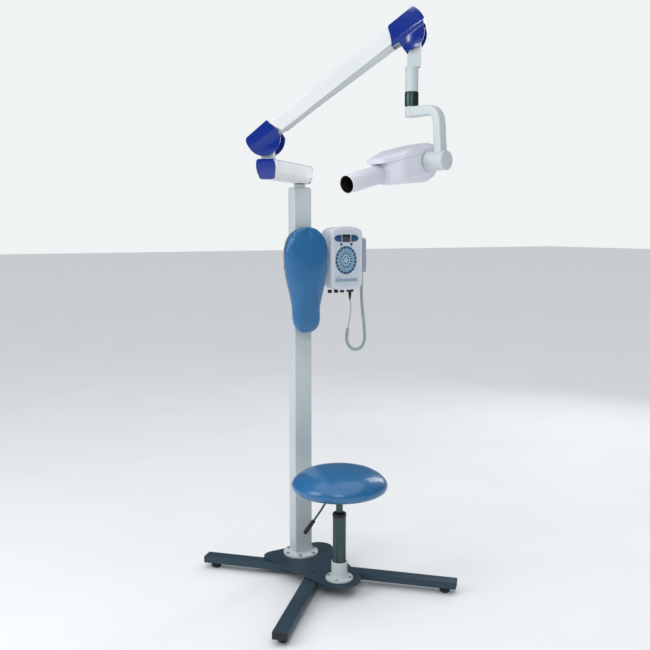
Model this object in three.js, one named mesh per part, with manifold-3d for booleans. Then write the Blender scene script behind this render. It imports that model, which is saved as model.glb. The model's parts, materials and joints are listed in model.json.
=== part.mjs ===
// Floor-standing intraoral x-ray unit with a built-in stool.
// Millimetres, +Z up. The patient sits facing -Y, with the column behind the back, and +X is the unit's
// right as seen from the front. The model is laid out about the point where the legs cross, on the floor,
// and the finished group is moved so that its origin is the middle of the bounding box's bottom.

import * as THREE from "three";
import { mergeVertices } from "three/addons/utils/BufferGeometryUtils.js";
import Module from "manifold-3d";

const wasm = await Module();
wasm.setup();

// ---------------------------------------------------------------- driving dimensions

const GAP = 0.3; // clearance that touching pieces keep

const FOOT_HEIGHT = 20;
const FOOT_RADIUS = 19;
const FOOT_INSET = 38; // from the leg's end to the foot's axis
const LEG = { width: 50, height: 25, wall: 2.5 };
const LEG_REACH = { left: 437, right: 500, front: 538, rear: 172 }; // from the crossing
const LEG_ANGLE = { beam: -45.4, front: -132.2, rear: 44.6 }; // degrees in plan, from +X
const PLATE = { thickness: 5, rearX: 88, rearY: 152, rearRadius: 52, noseRadius: 76 };

const COLUMN_Y = 134; // the column stands behind the crossing
const COLUMN = { width: 70, depth: 50, wall: 3, corner: 4, top: 1412 };
const COLUMN_FLANGE = { radius: 65, height: 8, boltCircle: 110, boltHole: 9, bolts: 6 };
const NECK = { radius: 22, height: 14, pinRadius: 12 };

const STOOL_Y = -149; // and the stool in front of it
const STOOL_FLANGE = { radius: 48, height: 8, boltCircle: 78, boltHole: 7, bolts: 4 };
const SLEEVE = { radius: 28, top: 115 };
const STOOL_TUBE = { radius: 23, wall: 2.5, top: 276 };
const STOOL_ROD_RADIUS = 12;
const SEAT = { radius: 175, bottom: 361, rim: 381, top: 448, board: 105 };
const LEVER_ANGLE = 150; // the height lever's direction in plan, degrees from +X

const PAD = {
  x: -2, top: 1279, bottom: 889,
  wideZ: 1168, wide: 91.5, // half width at the shoulders
  narrowZ: 951, narrow: 56, // and near the bottom
  front: 56, back: 100,
};

const BOX = {
  x: 165, width: 137, low: 1052.5, high: 1265, arch: 13, corner: 18,
  front: 74, seam: 94, back: 146, // planes along Y
};
const DIAL = { x: -5, z: 1153, radius: 46, tall: 1.15 }; // an ellipse, taller than wide
const DISPLAY = { x: -4, z: 1233, halfWidth: 52.5, halfHeight: 15, split: 20 };
const FUSE = { low: 1032, high: 1044 };
const HANDSET = { x: 248, y: 106, low: 1106, high: 1232 };

const EXTENSION = { angle: -138.35, bottom: 1429.3, height: 65, front: 327, rear: 52.6, cap: 8, slope: 14 };
const EXTENSION_HALF = { top: 32, middle: 35.5, bottom: 26.8 }; // half widths of its barrel-sided section
const SCISSOR_SWIVEL = 293; // from the column's axis to the spring arm's swivel, along the extension arm
const SCISSOR = { angle: -44, rise: 33.8, length: 557, setBack: 9.3, pivotZ: 1560.4 };
// the arm's cover about the pivot line, and how far its ends stay from the pivots
const ARM = { halfWidth: 31, low: -15, high: 37, start: 41, end: 40, lean: 1.5 };
const JOINT_SLANT = { low: 29, high: 26 }; // how far each joint line runs from its top to its bottom
const CHANNEL = { half: 24, wall: 2.5, low: -12, high: 14, ear: 18 }; // the load-bearing channel's section
const PIVOT_PIN_RADIUS = 6;
const ROD = { rise: 17, near: 16.2, far: 20.4, eye: 6, pin: 2.6 }; // levelling rod, above the main pivots
const SPRING = { from: 90, to: 420, radius: 9, y: -6, z: 4 }; // balance spring, along the arm
const KNUCKLE_RADIUS = 57;
const BRACKET = { along: 42, thick: 31 };
const HEAD_AXIS_AHEAD = 15; // the head's swivel axis lies this far beyond the upper pivot
const HEAD_STEM = { radius: 20.5, top: 1768, bottom: 1693 };
const SWIVEL_RING = { radius: 21.7, top: 1692.6, bottom: 1649.3 };

const YOKE = { angle: -74.5, hubTop: 1649, top: 1647, height: 31, depth: 34, leg: 26, reach: 127, bend: 62 };
const TILT_Z = 1476.6; // height of the head's tilt axis
const KNUCKLE = { radius: 29.8, inner: 70, outer: 139.6 };
const HEAD_TILT = 13.6; // the cone points this far below level
const HEAD = {
  half: 66, // half of its width
  rear: -95, cheek: 103, nose: 119, chin: 166, lip: 176, // places along the cone's axis
  bottom: -54, skirt: -34, seam: 27, hood: 41, top: 50, // heights over the tilt axis
};
const CONE = { radius: 28.6, bore: 27.2, drop: -7, mouth: 309, root: 137, collar: 34.5 };

const CORD = { radius: 2.2, coilRadius: 6.7 };

// ---------------------------------------------------------------- materials

const paint = (color, roughness, metalness = 0) =>
  new THREE.MeshStandardMaterial({ color, roughness, metalness });
const SLATE = paint(0x2b3f4e, 0.5, 0.3);
const WHITE = paint(0xd9dedf, 0.35, 0.1);
const SHELL = paint(0xdadbe8, 0.4);
const ROYAL = paint(0x0d2f9a, 0.2);
const VINYL = paint(0x1f6fae, 0.25);
const STEEL = paint(0x4a5a5c, 0.3, 0.9);
const BRIGHT = paint(0xb9c0c2, 0.25, 0.9);
const BLACK = paint(0x16181a, 0.6);
const DARK_BLUE = paint(0x1b4a6e, 0.4);
const BOARD = paint(0x8a6b45, 0.8);
const LEAD = paint(0x9db3ad, 0.5);
const CIRCUIT = paint(0x1f6b3a, 0.5);

// ---------------------------------------------------------------- geometry helpers

const rad = THREE.MathUtils.degToRad;

// A closed three.js geometry as a solid for cutting and joining.
function solid(geometry) {
  const plain = geometry.index ? geometry.toNonIndexed() : geometry.clone();
  for (const name of Object.keys(plain.attributes)) {
    if (name !== "position") plain.deleteAttribute(name);
  }
  const merged = mergeVertices(plain, 1e-4);
  return new wasm.Manifold(
    new wasm.Mesh({
      numProp: 3,
      vertProperties: new Float32Array(merged.attributes.position.array),
      triVerts: new Uint32Array(merged.index.array),
    }),
  );
}

// A solid back as a three.js geometry.
function geometryOf(body) {
  const mesh = body.getMesh();
  const geometry = new THREE.BufferGeometry();
  geometry.setAttribute("position", new THREE.BufferAttribute(mesh.vertProperties, 3));
  geometry.setIndex(new THREE.BufferAttribute(mesh.triVerts, 1));
  geometry.computeVertexNormals();
  return geometry;
}

const join = (...parts) => geometryOf(parts.map(solid).reduce((a, b) => a.add(b)));
const cut = (body, ...tools) =>
  geometryOf(tools.map(solid).reduce((a, b) => a.subtract(b), solid(body)));
const common = (a, b) => geometryOf(solid(a).intersect(solid(b)));

const block = (x, y, z, cx = 0, cy = 0, cz = 0) => new THREE.BoxGeometry(x, y, z).translate(cx, cy, cz);

// A cylinder along Z between two heights.
function post(radius, low, high, sides = 24, topRadius = radius) {
  return new THREE.CylinderGeometry(topRadius, radius, high - low, sides)
    .rotateX(Math.PI / 2)
    .translate(0, 0, (low + high) / 2);
}

// A hollow cylinder along Z, with a closed profile turned about the axis.
function sleeve(outer, inner, low, high, sides = 24) {
  const profile = [[inner, low], [outer, low], [outer, high], [inner, high], [inner, low]];
  return lathe(profile, sides);
}

const lathe = (profile, sides = 24) =>
  new THREE.LatheGeometry(profile.map(([r, z]) => new THREE.Vector2(r, z)), sides).rotateX(Math.PI / 2);

function roundedRectangle(width, height, corner, steps) {
  const shape = new THREE.Shape();
  const x = width / 2;
  const y = height / 2;
  shape.moveTo(-x + corner, -y);
  shape.lineTo(x - corner, -y);
  shape.absarc(x - corner, -y + corner, corner, -Math.PI / 2, 0);
  shape.lineTo(x, y - corner);
  shape.absarc(x - corner, y - corner, corner, 0, Math.PI / 2);
  shape.lineTo(-x + corner, y);
  shape.absarc(-x + corner, y - corner, corner, Math.PI / 2, Math.PI);
  shape.lineTo(-x, -y + corner);
  shape.absarc(-x + corner, -y + corner, corner, Math.PI, 1.5 * Math.PI);
  return new THREE.Shape(distinct(shape.getPoints(steps)));
}

// A point list with near-coincident neighbours removed.
function distinct(points) {
  return points.filter((p, i) => p.distanceTo(points[(i + points.length - 1) % points.length]) > 1e-3);
}

const polygon = (points) => new THREE.Shape(points.map(([x, y]) => new THREE.Vector2(x, y)));

const extrude = (shape, depth, steps = 6) =>
  new THREE.ExtrudeGeometry(shape, { depth, bevelEnabled: false, curveSegments: steps });

// A shape drawn in X-Z, extruded along Y between two places.
const slabXZ = (shape, near, far) =>
  extrude(shape, far - near).rotateX(Math.PI / 2).translate(0, far, 0);

// A shape drawn in Y-Z, extruded along X between two places.
const slabYZ = (shape, low, high) =>
  extrude(shape, high - low).applyMatrix4(
    new THREE.Matrix4().set(0, 0, 1, low, 1, 0, 0, 0, 0, 1, 0, 0, 0, 0, 0, 1),
  );

// A round rod that follows a list of points.
function rodAlong(points, radius, sides, steps) {
  const curve = new THREE.CatmullRomCurve3(points.map((p) => new THREE.Vector3(...p)));
  const section = new THREE.Shape();
  for (let i = 0; i < sides; i++) {
    const a = (2 * Math.PI * i) / sides;
    const [x, y] = [radius * Math.cos(a), radius * Math.sin(a)];
    if (i) section.lineTo(x, y);
    else section.moveTo(x, y);
  }
  return new THREE.ExtrudeGeometry(section, { steps, extrudePath: curve, bevelEnabled: false });
}

// Cylinders on a bolt circle, for cutting holes.
function boltHoles({ boltCircle, boltHole, bolts }, low, high, firstAngle = 0) {
  return Array.from({ length: bolts }, (_, i) => {
    const a = rad(firstAngle + (360 * i) / bolts);
    return post(boltHole / 2, low, high, 12)
      .translate((boltCircle / 2) * Math.cos(a), (boltCircle / 2) * Math.sin(a), 0);
  });
}

function piece(parent, name, geometry, material) {
  const mesh = new THREE.Mesh(geometry, material);
  mesh.name = name;
  parent.add(mesh);
  return mesh;
}

function group(parent, x = 0, y = 0, z = 0) {
  const made = new THREE.Group();
  made.position.set(x, y, z);
  parent.add(made);
  return made;
}

// ---------------------------------------------------------------- base

const unit = new THREE.Group();
const PLATE_LOW = FOOT_HEIGHT + LEG.height + GAP;
const DECK = PLATE_LOW + PLATE.thickness; // top of the base plate

// A rectangular steel tube along +X between two distances from the crossing, open at both ends.
function legTube(from, to) {
  const outer = block(to - from, LEG.width, LEG.height - GAP);
  const inner = block(to - from + 2, LEG.width - 2 * LEG.wall, LEG.height - GAP - 2 * LEG.wall);
  return cut(outer, inner).translate((from + to) / 2, 0, FOOT_HEIGHT + (LEG.height + GAP) / 2);
}

function levellingFoot() {
  const r = FOOT_RADIUS;
  return lathe([[0, 0], [r * 0.55, 0], [r * 0.85, 3], [r, 9], [r, 15], [r * 0.6, 17],
    [r * 0.6, FOOT_HEIGHT], [0, FOOT_HEIGHT]], 20);
}

function buildLegs() {
  const start = LEG.width / 2 + 2;
  const legs = [
    { name: "leg_cross_beam", angle: LEG_ANGLE.beam, from: -LEG_REACH.left, to: LEG_REACH.right },
    { name: "leg_front_left", angle: LEG_ANGLE.front, from: start, to: LEG_REACH.front },
    { name: "leg_rear_stub", angle: LEG_ANGLE.rear, from: start, to: LEG_REACH.rear },
  ];
  for (const { name, angle, from, to } of legs) {
    const leg = group(unit);
    leg.rotation.z = rad(angle);
    piece(leg, name, legTube(from, to), SLATE);
    const feet = {};
    if (name === "leg_cross_beam") {
      feet.foot_left = from + FOOT_INSET;
      feet.foot_right = to - FOOT_INSET;
    }
    if (name === "leg_front_left") feet.foot_front = to - FOOT_INSET;
    if (name === "leg_rear_stub") feet.foot_rear = to - FOOT_INSET;
    for (const [foot, x] of Object.entries(feet)) {
      piece(leg, foot, levellingFoot().translate(x, 0, 0), BLACK);
    }
  }
}

// The plate's outline is the hull of a nose around the stool and two rounded corners behind the column.
function plateOutline() {
  const nose = new THREE.Vector2(0, STOOL_Y);
  const corner = new THREE.Vector2(PLATE.rearX, PLATE.rearY);
  const apart = corner.clone().sub(nose);
  const lean = Math.asin((PLATE.noseRadius - PLATE.rearRadius) / apart.length());
  const side = apart.angle() - Math.PI / 2 + lean; // direction of the side edge's outward normal
  const shape = new THREE.Shape();
  shape.absarc(nose.x, nose.y, PLATE.noseRadius, Math.PI - side, 2 * Math.PI + side, false);
  shape.absarc(corner.x, corner.y, PLATE.rearRadius, side, Math.PI / 2, false);
  shape.absarc(-corner.x, corner.y, PLATE.rearRadius, Math.PI / 2, Math.PI - side, false);
  return new THREE.Shape(distinct(shape.getPoints(14)));
}

function buildPlate() {
  piece(unit, "base_plate", extrude(plateOutline(), PLATE.thickness).translate(0, 0, PLATE_LOW), SLATE);
}

// ---------------------------------------------------------------- column

function buildColumn() {
  const column = group(unit, 0, COLUMN_Y, 0);
  const low = DECK + GAP;
  const tubeLow = low + COLUMN_FLANGE.height + GAP;
  const flange = post(COLUMN_FLANGE.radius, low, low + COLUMN_FLANGE.height, 36);
  piece(column, "column_flange", cut(flange, ...boltHoles(COLUMN_FLANGE, low - 1, tubeLow + 1)), WHITE);

  const { width, depth, wall, corner, top } = COLUMN;
  const outer = extrude(roundedRectangle(width, depth, corner, 3), top - tubeLow);
  const inner = extrude(roundedRectangle(width - 2 * wall, depth - 2 * wall, 1.5, 1), top - tubeLow + 2);
  piece(column, "column_tube", cut(outer, inner.translate(0, 0, -1)).translate(0, 0, tubeLow), WHITE);

  const capLow = top + GAP;
  const neckTop = capLow + NECK.height;
  const cap = join(
    extrude(roundedRectangle(width - 6, depth - 6, corner, 2), 3).translate(0, 0, capLow),
    post(NECK.radius, capLow, neckTop, 28, NECK.radius - 1),
    post(NECK.pinRadius, neckTop - 1, EXTENSION.bottom + 40, 20),
  );
  piece(column, "column_pivot", cap, WHITE);
}

// ---------------------------------------------------------------- backrest

// The pad's outline, drawn in X-Z, like a shoe sole with its wide end up.
function padOutline(inset = 0) {
  const { top, bottom, wideZ, wide, narrowZ, narrow } = PAD;
  const [w, n] = [wide - inset, narrow - inset];
  const [t, b] = [top - inset, bottom + inset];
  const shape = new THREE.Shape();
  const x = PAD.x;
  shape.moveTo(x, b);
  shape.bezierCurveTo(x + n * 0.75, b, x + n, b + 25, x + n, narrowZ);
  shape.bezierCurveTo(x + n, narrowZ + 80, x + w, wideZ - 90, x + w, wideZ);
  shape.bezierCurveTo(x + w, wideZ + 72, x + w * 0.62, t, x, t);
  shape.bezierCurveTo(x - w * 0.62, t, x - w, wideZ + 72, x - w, wideZ);
  shape.bezierCurveTo(x - w, wideZ - 90, x - n, narrowZ + 80, x - n, narrowZ);
  shape.bezierCurveTo(x - n, b + 25, x - n * 0.75, b, x, b);
  return new THREE.Shape(distinct(shape.getPoints(7)));
}

function buildBackrest() {
  const columnFace = COLUMN_Y - COLUMN.depth / 2;
  piece(unit, "backrest_board", slabXZ(padOutline(12), PAD.back + GAP, columnFace - GAP), BOARD);
  const { front, back } = PAD;
  const layers = [[16, front], [7, front + 5], [1, front + 14], [0, back - 18], [1, back - 8], [6, back]];
  piece(unit, "backrest_pad", loft(layers.map(([inset, y]) => ringXZ(padOutline(inset), y))), VINYL);
}

const ringXZ = (shape, y) => shape.getPoints().map((p) => new THREE.Vector3(p.x, y, p.y));

// A closed skin over rings with the same number of points, with flat ends.
function loft(rings) {
  const count = rings[0].length;
  const position = rings.flat().flatMap((p) => [p.x, p.y, p.z]);
  const index = [];
  rings.slice(1).forEach((_, level) => {
    for (let i = 0; i < count; i++) {
      const a = level * count + i;
      const b = level * count + ((i + 1) % count);
      index.push(a, b, a + count, b, b + count, a + count);
    }
  });
  for (const [level, flip] of [[0, true], [rings.length - 1, false]]) {
    const flat = capTriangles(rings[level]);
    for (const [a, b, c] of flat) {
      const base = level * count;
      index.push(...(flip ? [base + c, base + b, base + a] : [base + a, base + b, base + c]));
    }
  }
  const geometry = new THREE.BufferGeometry();
  geometry.setAttribute("position", new THREE.Float32BufferAttribute(position, 3));
  geometry.setIndex(index);
  return outward(geometry);
}

// Triangles of a planar ring, found in the plane in which it is widest.
function capTriangles(ring) {
  const normal = new THREE.Vector3();
  ring.forEach((p, i) => normal.add(p.clone().cross(ring[(i + 1) % ring.length])));
  normal.normalize();
  const u = ring[1].clone().sub(ring[0]).normalize();
  const v = normal.clone().cross(u);
  const flat = ring.map((p) => new THREE.Vector2(p.dot(u), p.dot(v)));
  return THREE.ShapeUtils.triangulateShape(flat, []);
}

// The same geometry with its faces turned to point out.
function outward(geometry) {
  const body = solid(geometry);
  if (body.volume() > 0) return geometry;
  const index = geometry.index.array;
  for (let i = 0; i < index.length; i += 3) [index[i], index[i + 1]] = [index[i + 1], index[i]];
  return geometry;
}

// ---------------------------------------------------------------- control box

// The box's outline in X-Z about its own middle, with arched top and bottom.
function boxOutline(inset = 0, steps = 4) {
  const w = BOX.width / 2 - inset;
  const [low, high] = [BOX.low + inset, BOX.high - inset];
  const r = BOX.corner;
  const shape = new THREE.Shape();
  shape.moveTo(-w, low + r);
  shape.quadraticCurveTo(-w, low, -w + r, low - BOX.arch * 0.4);
  shape.quadraticCurveTo(0, low - BOX.arch * 1.1, w - r, low - BOX.arch * 0.4);
  shape.quadraticCurveTo(w, low, w, low + r);
  shape.lineTo(w, high - r);
  shape.quadraticCurveTo(w, high, w - r, high + BOX.arch * 0.4);
  shape.quadraticCurveTo(0, high + BOX.arch * 1.4, -w + r, high + BOX.arch * 0.4);
  shape.quadraticCurveTo(-w, high, -w, high - r);
  return new THREE.Shape(distinct(shape.getPoints(steps)));
}

function buildControlBox() {
  const box = group(unit, BOX.x, 0, 0);
  const wall = 3;
  const rear = cut(
    slabXZ(boxOutline(2), BOX.seam + GAP, BOX.back),
    slabXZ(boxOutline(2 + wall), BOX.seam, BOX.back - wall),
  );
  piece(box, "control_rear_housing", rear, SHELL);
  const shell = loft([[7, BOX.front], [0, BOX.front + 7], [0, BOX.seam]].map(([inset, y]) =>
    ringXZ(boxOutline(inset), y)));
  const windows = [slabXZ(ovalPart(-1), 0, BOX.seam), slabXZ(ovalPart(1), 0, BOX.seam)];
  const hollow = slabXZ(boxOutline(wall + 4), BOX.front + wall, BOX.seam + 1);
  piece(box, "control_front_cover", cut(shell, hollow, ...windows), SHELL);

  const buttonFace = BOX.front - 2.5;
  piece(box, "control_button_left", slabXZ(ovalPart(-1, 0.8), buttonFace, BOX.front + 6), DARK_BLUE);
  piece(box, "control_button_right", slabXZ(ovalPart(1, 0.8), buttonFace, BOX.front + 6), DARK_BLUE);
  const windowShape = roundedRectangle(2 * DISPLAY.split - 5, 2 * DISPLAY.halfHeight - 3, 2, 2);
  const pane = slabXZ(windowShape, BOX.front - 1.5, BOX.front - GAP).translate(DISPLAY.x, 0, DISPLAY.z);
  piece(box, "control_display", pane, BLACK);
  const dial = new THREE.CylinderGeometry(DIAL.radius, DIAL.radius, 2, 36).scale(1, 1, DIAL.tall);
  piece(box, "control_keypad", dial.translate(DIAL.x, BOX.front - 1 - GAP, DIAL.z), DARK_BLUE);
  piece(box, "control_board", block(96, 1.6, 150, 0, BOX.front + 14, 1160), CIRCUIT);

  // the box hangs beside the column on a flat steel arm
  const reach = BOX.x - COLUMN.width / 2 - GAP;
  const arm = join(
    block(5, 40, 60, -reach + 2.5, COLUMN_Y, 1165),
    block(reach + 25, 5, 60, -reach / 2 + 12.5, BOX.back + GAP + 2.5, 1165),
  );
  piece(box, "control_bracket", arm, WHITE);
}

// One end of the display's oval band, left (-1) or right (1) of the display.
function ovalPart(side, inset = 0) {
  const { halfWidth, halfHeight, split, z } = DISPLAY;
  const near = split + inset;
  const shape = new THREE.Shape();
  const h = (halfHeight - inset) * 0.93;
  const x = (distance) => DISPLAY.x + side * distance;
  shape.moveTo(x(near), z - h);
  shape.quadraticCurveTo(x(halfWidth - 3), z - h, x(halfWidth - inset), z);
  shape.quadraticCurveTo(x(halfWidth - 3), z + h, x(near), z + h);
  const points = distinct(shape.getPoints(5));
  return new THREE.Shape(side > 0 ? points : points.reverse());
}

const CONNECTORS_Y = 106;

function buildConnectors() {
  [110, 136.8, 162.8].forEach((x, i) => {
    const cap = post(8, FUSE.low, FUSE.high, 16).translate(x, CONNECTORS_Y, 0);
    piece(unit, `fuse_cap_${i + 1}`, cap, BLACK);
  });
  const boot = lathe([[0, 1005 + GAP], [3.6, 1005 + GAP], [6, 1028], [6.5, 1034], [14, 1034], [14, 1043],
    [0, 1043]], 16);
  piece(unit, "cord_strain_relief", boot.translate(197, CONNECTORS_Y, 0), BLACK);
}

function buildHandset() {
  const { x, y, low, high } = HANDSET;
  const outline = polygon([[-8, low], [7, low], [12.5, low + 52], [12.5, low + 55], [9.5, low + 59],
    [9.5, high - 8], [6, high], [-8, high]]);
  const body = common(
    slabXZ(outline, -17, 17),
    extrude(roundedRectangle(24, 34, 7, 3), high - low).translate(1.5, 0, low),
  );
  const well = post(5.5 + GAP, high - 12, high + 1, 20);
  piece(unit, "handset", cut(body, well).translate(x, y, 0), SHELL);
  piece(unit, "exposure_button", post(5.5, high - 7, high + 3.5, 20).translate(x, y, 0), DARK_BLUE);
}

// ---------------------------------------------------------------- hand switch cord

const CORD_LEAD = [[197, 1004.4], [197.6, 1000], [202, 978], [198, 942], [190.5, 905]];
const CORD_CURL = [[190, 901], [184, 873], [186, 845], [202, 822], [225, 814], [250, 823], [263, 853],
  [262, 896], [255, 950], [249.5, 1003], [248, 1052], [HANDSET.x, HANDSET.low - GAP]];

function buildCord() {
  const at = (points) => points.map(([x, z]) => [x, CONNECTORS_Y, z]);
  piece(unit, "cord_lead", rodAlong(at(CORD_LEAD), CORD.radius, 8, 12), LEAD);
  piece(unit, "cord_curl", rodAlong(at(CORD_CURL), CORD.coilRadius, 10, 40), LEAD);
}

// ---------------------------------------------------------------- stool

function buildStool() {
  const stool = group(unit, 0, STOOL_Y, 0);
  const low = DECK + GAP;
  const flangeTop = low + STOOL_FLANGE.height;
  const bore = STOOL_TUBE.radius + GAP;
  const socket = lathe([[bore, low], [STOOL_FLANGE.radius, low], [STOOL_FLANGE.radius, flangeTop],
    [SLEEVE.radius, flangeTop], [SLEEVE.radius, SLEEVE.top], [bore, SLEEVE.top], [bore, low]], 32);
  piece(stool, "stool_socket", cut(socket, ...boltHoles(STOOL_FLANGE, low - 1, flangeTop + 1, 45)), WHITE);
  const inner = STOOL_TUBE.radius - STOOL_TUBE.wall;
  piece(stool, "stool_outer_tube", sleeve(STOOL_TUBE.radius, inner, low, STOOL_TUBE.top, 28), STEEL);
  const collar = sleeve(STOOL_TUBE.radius + 1, STOOL_ROD_RADIUS + 0.4, STOOL_TUBE.top + GAP, 290.5, 28);
  piece(stool, "stool_tube_collar", collar, BLACK);
  const plateTop = SEAT.bottom - 10 - GAP;
  const rodTop = plateTop - 17;
  piece(stool, "stool_gas_rod", post(STOOL_ROD_RADIUS, 110, rodTop - GAP, 24), BLACK);
  const mechanism = join(
    block(100, 100, 3, 0, 0, plateTop - 1.5),
    block(50, 60, 15, 0, 0, rodTop + 7.5),
  );
  piece(stool, "seat_mechanism", mechanism, STEEL);
  piece(stool, "seat_board", post(SEAT.board, plateTop + GAP, SEAT.bottom - GAP, 32), BOARD);
  const r = SEAT.radius;
  const { bottom, rim, top } = SEAT;
  const cushion = lathe([[0, bottom], [r * 0.83, bottom], [r * 0.915, bottom + 4], [r * 0.977, bottom + 12],
    [r, rim], [r * 0.99, rim + 11], [r * 0.945, rim + 22], [r * 0.86, rim + 37], [r * 0.69, top - 14],
    [r * 0.46, top - 5], [0, top]], 40);
  piece(stool, "seat_cushion", cushion, VINYL);

  // the height lever drops outwards from the mechanism's left side
  const lever = group(stool);
  lever.rotation.z = rad(LEVER_ANGLE);
  const bend = [[35, 0, 338], [48, 0, 323], [66, 0, 294], [87, 0, 263]];
  piece(lever, "lever_rod", rodAlong(bend, 3.6, 10, 10), STEEL);
  piece(lever, "lever_grip", post(8, 0, 57, 16).rotateY(rad(145)).translate(89, 0, 259.5), BLACK);
}

// ---------------------------------------------------------------- extension arm

// The arm's section across its length: a rounded trapezoid, wide side up, in Y-Z about its bottom.
function extensionSection(inset = 0) {
  const top = EXTENSION_HALF.top - inset;
  const middle = EXTENSION_HALF.middle - inset;
  const bottom = EXTENSION_HALF.bottom - inset;
  const [low, high] = [inset, EXTENSION.height - inset];
  const r = 11 - inset;
  const shape = new THREE.Shape();
  shape.moveTo(-bottom + r, low);
  shape.lineTo(bottom - r, low);
  shape.quadraticCurveTo(bottom, low, bottom + 0.4, low + r);
  shape.quadraticCurveTo(middle, high / 2, top, high - r);
  shape.quadraticCurveTo(top, high, top - r, high);
  shape.lineTo(-top + r, high);
  shape.quadraticCurveTo(-top, high, -top, high - r);
  shape.quadraticCurveTo(-middle, high / 2, -bottom - 0.4, low + r);
  shape.quadraticCurveTo(-bottom, low, -bottom + r, low);
  return new THREE.Shape(distinct(shape.getPoints(4)));
}

// The arm's side view between two distances. Each end curves in towards the bottom.
function extensionSide(rear, front, rearSlope = EXTENSION.slope, frontSlope = EXTENSION.slope) {
  const steps = 6;
  const h = EXTENSION.height;
  const points = [];
  for (let i = 0; i <= steps; i++) points.push([rear + rearSlope * (i / steps) ** 2, h * (1 - i / steps)]);
  for (let i = steps; i >= 0; i--) points.push([front - frontSlope * (i / steps) ** 2, h * (1 - i / steps)]);
  return polygon([[rear, h + 1], ...points, [front, h + 1]]);
}

function buildExtension() {
  const arm = group(unit, 0, COLUMN_Y, EXTENSION.bottom);
  arm.rotation.z = rad(EXTENSION.angle);
  const { front, rear, cap, height } = EXTENSION;
  const tubeFront = front - cap;
  const tubeRear = -rear + cap;
  const profile = slabYZ(extensionSection(), tubeRear - 1, tubeFront + 1);
  const bore = slabYZ(extensionSection(3), -rear - 40, front + 40);
  const side = slabXZ(extensionSide(tubeRear, tubeFront), -50, 50);
  const pinHole = post(NECK.pinRadius + 3 + GAP, -10, 10, 24);
  const swivelHole = post(12 + GAP, 50, height + 5, 24).translate(SCISSOR_SWIVEL, 0, 0);
  piece(arm, "extension_tube", cut(common(profile, side), bore, pinHole, swivelHole), WHITE);

  const solidProfile = () => slabYZ(extensionSection(), -rear - 10, front + 10);
  const frontCap = common(
    solidProfile(),
    cut(slabXZ(extensionSide(0, front, 3), -50, 50), slabXZ(extensionSide(-60, tubeFront + GAP), -51, 51)),
  );
  piece(arm, "extension_front_cap", frontCap, ROYAL);
  const rearCap = common(
    solidProfile(),
    cut(slabXZ(extensionSide(-rear, 200, 3), -50, 50), slabXZ(extensionSide(tubeRear - GAP, 260), -51, 51)),
  );
  piece(arm, "extension_rear_cap", rearCap, ROYAL);

  // flanged bush around the column's pin
  const r = NECK.pinRadius + GAP;
  const lower = lathe([[r, -2.4], [r + 6, -2.4], [r + 6, -GAP], [r + 2.7, -GAP], [r + 2.7, 36], [r, 36],
    [r, -2.4]], 24);
  piece(arm, "extension_bush", lower, BLACK);
  return arm;
}

// ---------------------------------------------------------------- spring arm

// A shape in the spring arm's own plane: X along the arm, Z up from the pivot line.
const armSlab = (shape, low, high) => slabXZ(shape, low, high);

function buildScissor(extension) {
  // swivelling base bracket, its pin in the extension arm's front end
  const base = group(extension, SCISSOR_SWIVEL, 0, SCISSOR.pivotZ - EXTENSION.bottom);
  base.rotation.z = rad(SCISSOR.angle - EXTENSION.angle);
  const topOfExtension = EXTENSION.bottom + EXTENSION.height - SCISSOR.pivotZ;
  const t = BRACKET.thick / 2;
  const tongue = new THREE.Shape();
  tongue.moveTo(-22, topOfExtension + 2.4);
  tongue.lineTo(18, topOfExtension + 2.4);
  tongue.lineTo(18, -20);
  tongue.absarc(-SCISSOR.setBack, 0, 24, -0.75, Math.PI + 0.4, false);
  const bracket = join(
    armSlab(new THREE.Shape(distinct(tongue.getPoints(6))), -t, t),
    post(12, topOfExtension - 34, topOfExtension + 6, 20),
    post(18, topOfExtension + GAP, topOfExtension + 3, 24),
  );
  const pivotBore = slabXZ(disc(PIVOT_PIN_RADIUS + GAP, -SCISSOR.setBack, 0), -t - 1, t + 1);
  const stud = slabXZ(disc(ROD.pin, -SCISSOR.setBack, ROD.rise, 12), t - 1, ROD.far + 0.6);
  piece(base, "scissor_base", join(cut(bracket, pivotBore), stud), WHITE);

  // the arm itself, tilted about the lower pivot
  const arm = group(base, -SCISSOR.setBack, 0, 0);
  arm.rotation.y = -rad(SCISSOR.rise);
  buildArm(arm);

  // head bracket about the upper pivot, kept upright
  const head = group(arm, SCISSOR.length, 0, 0);
  head.rotation.y = rad(SCISSOR.rise);
  buildHeadBracket(head);
  buildRod(base);
  return head;
}

// The rod that keeps the head bracket upright, parallel to the pivot line. It lies across the arm between
// its near and far planes, beside the brackets.
function buildRod(base) {
  const rod = group(base, -SCISSOR.setBack, 0, ROD.rise);
  rod.rotation.y = -rad(SCISSOR.rise);
  const { length } = SCISSOR;
  const bar = new THREE.Shape();
  bar.absarc(0, 0, ROD.eye, 0.7, 2 * Math.PI - 0.7, false);
  bar.absarc(length, 0, ROD.eye, Math.PI + 0.7, 3 * Math.PI - 0.7, false);
  const outline = new THREE.Shape(distinct(bar.getPoints(10)));
  const holes = [0, length].map((x) => slabXZ(disc(ROD.pin + GAP, x, 0, 16), 0, ROD.far + 5));
  piece(rod, "parallel_rod", cut(slabXZ(outline, ROD.near, ROD.far), ...holes), STEEL);
}

function disc(radius, x, z, steps = 20) {
  const shape = new THREE.Shape();
  shape.absarc(x, z, radius, 0, 2 * Math.PI, false);
  return new THREE.Shape(distinct(shape.getPoints(steps)));
}

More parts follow.
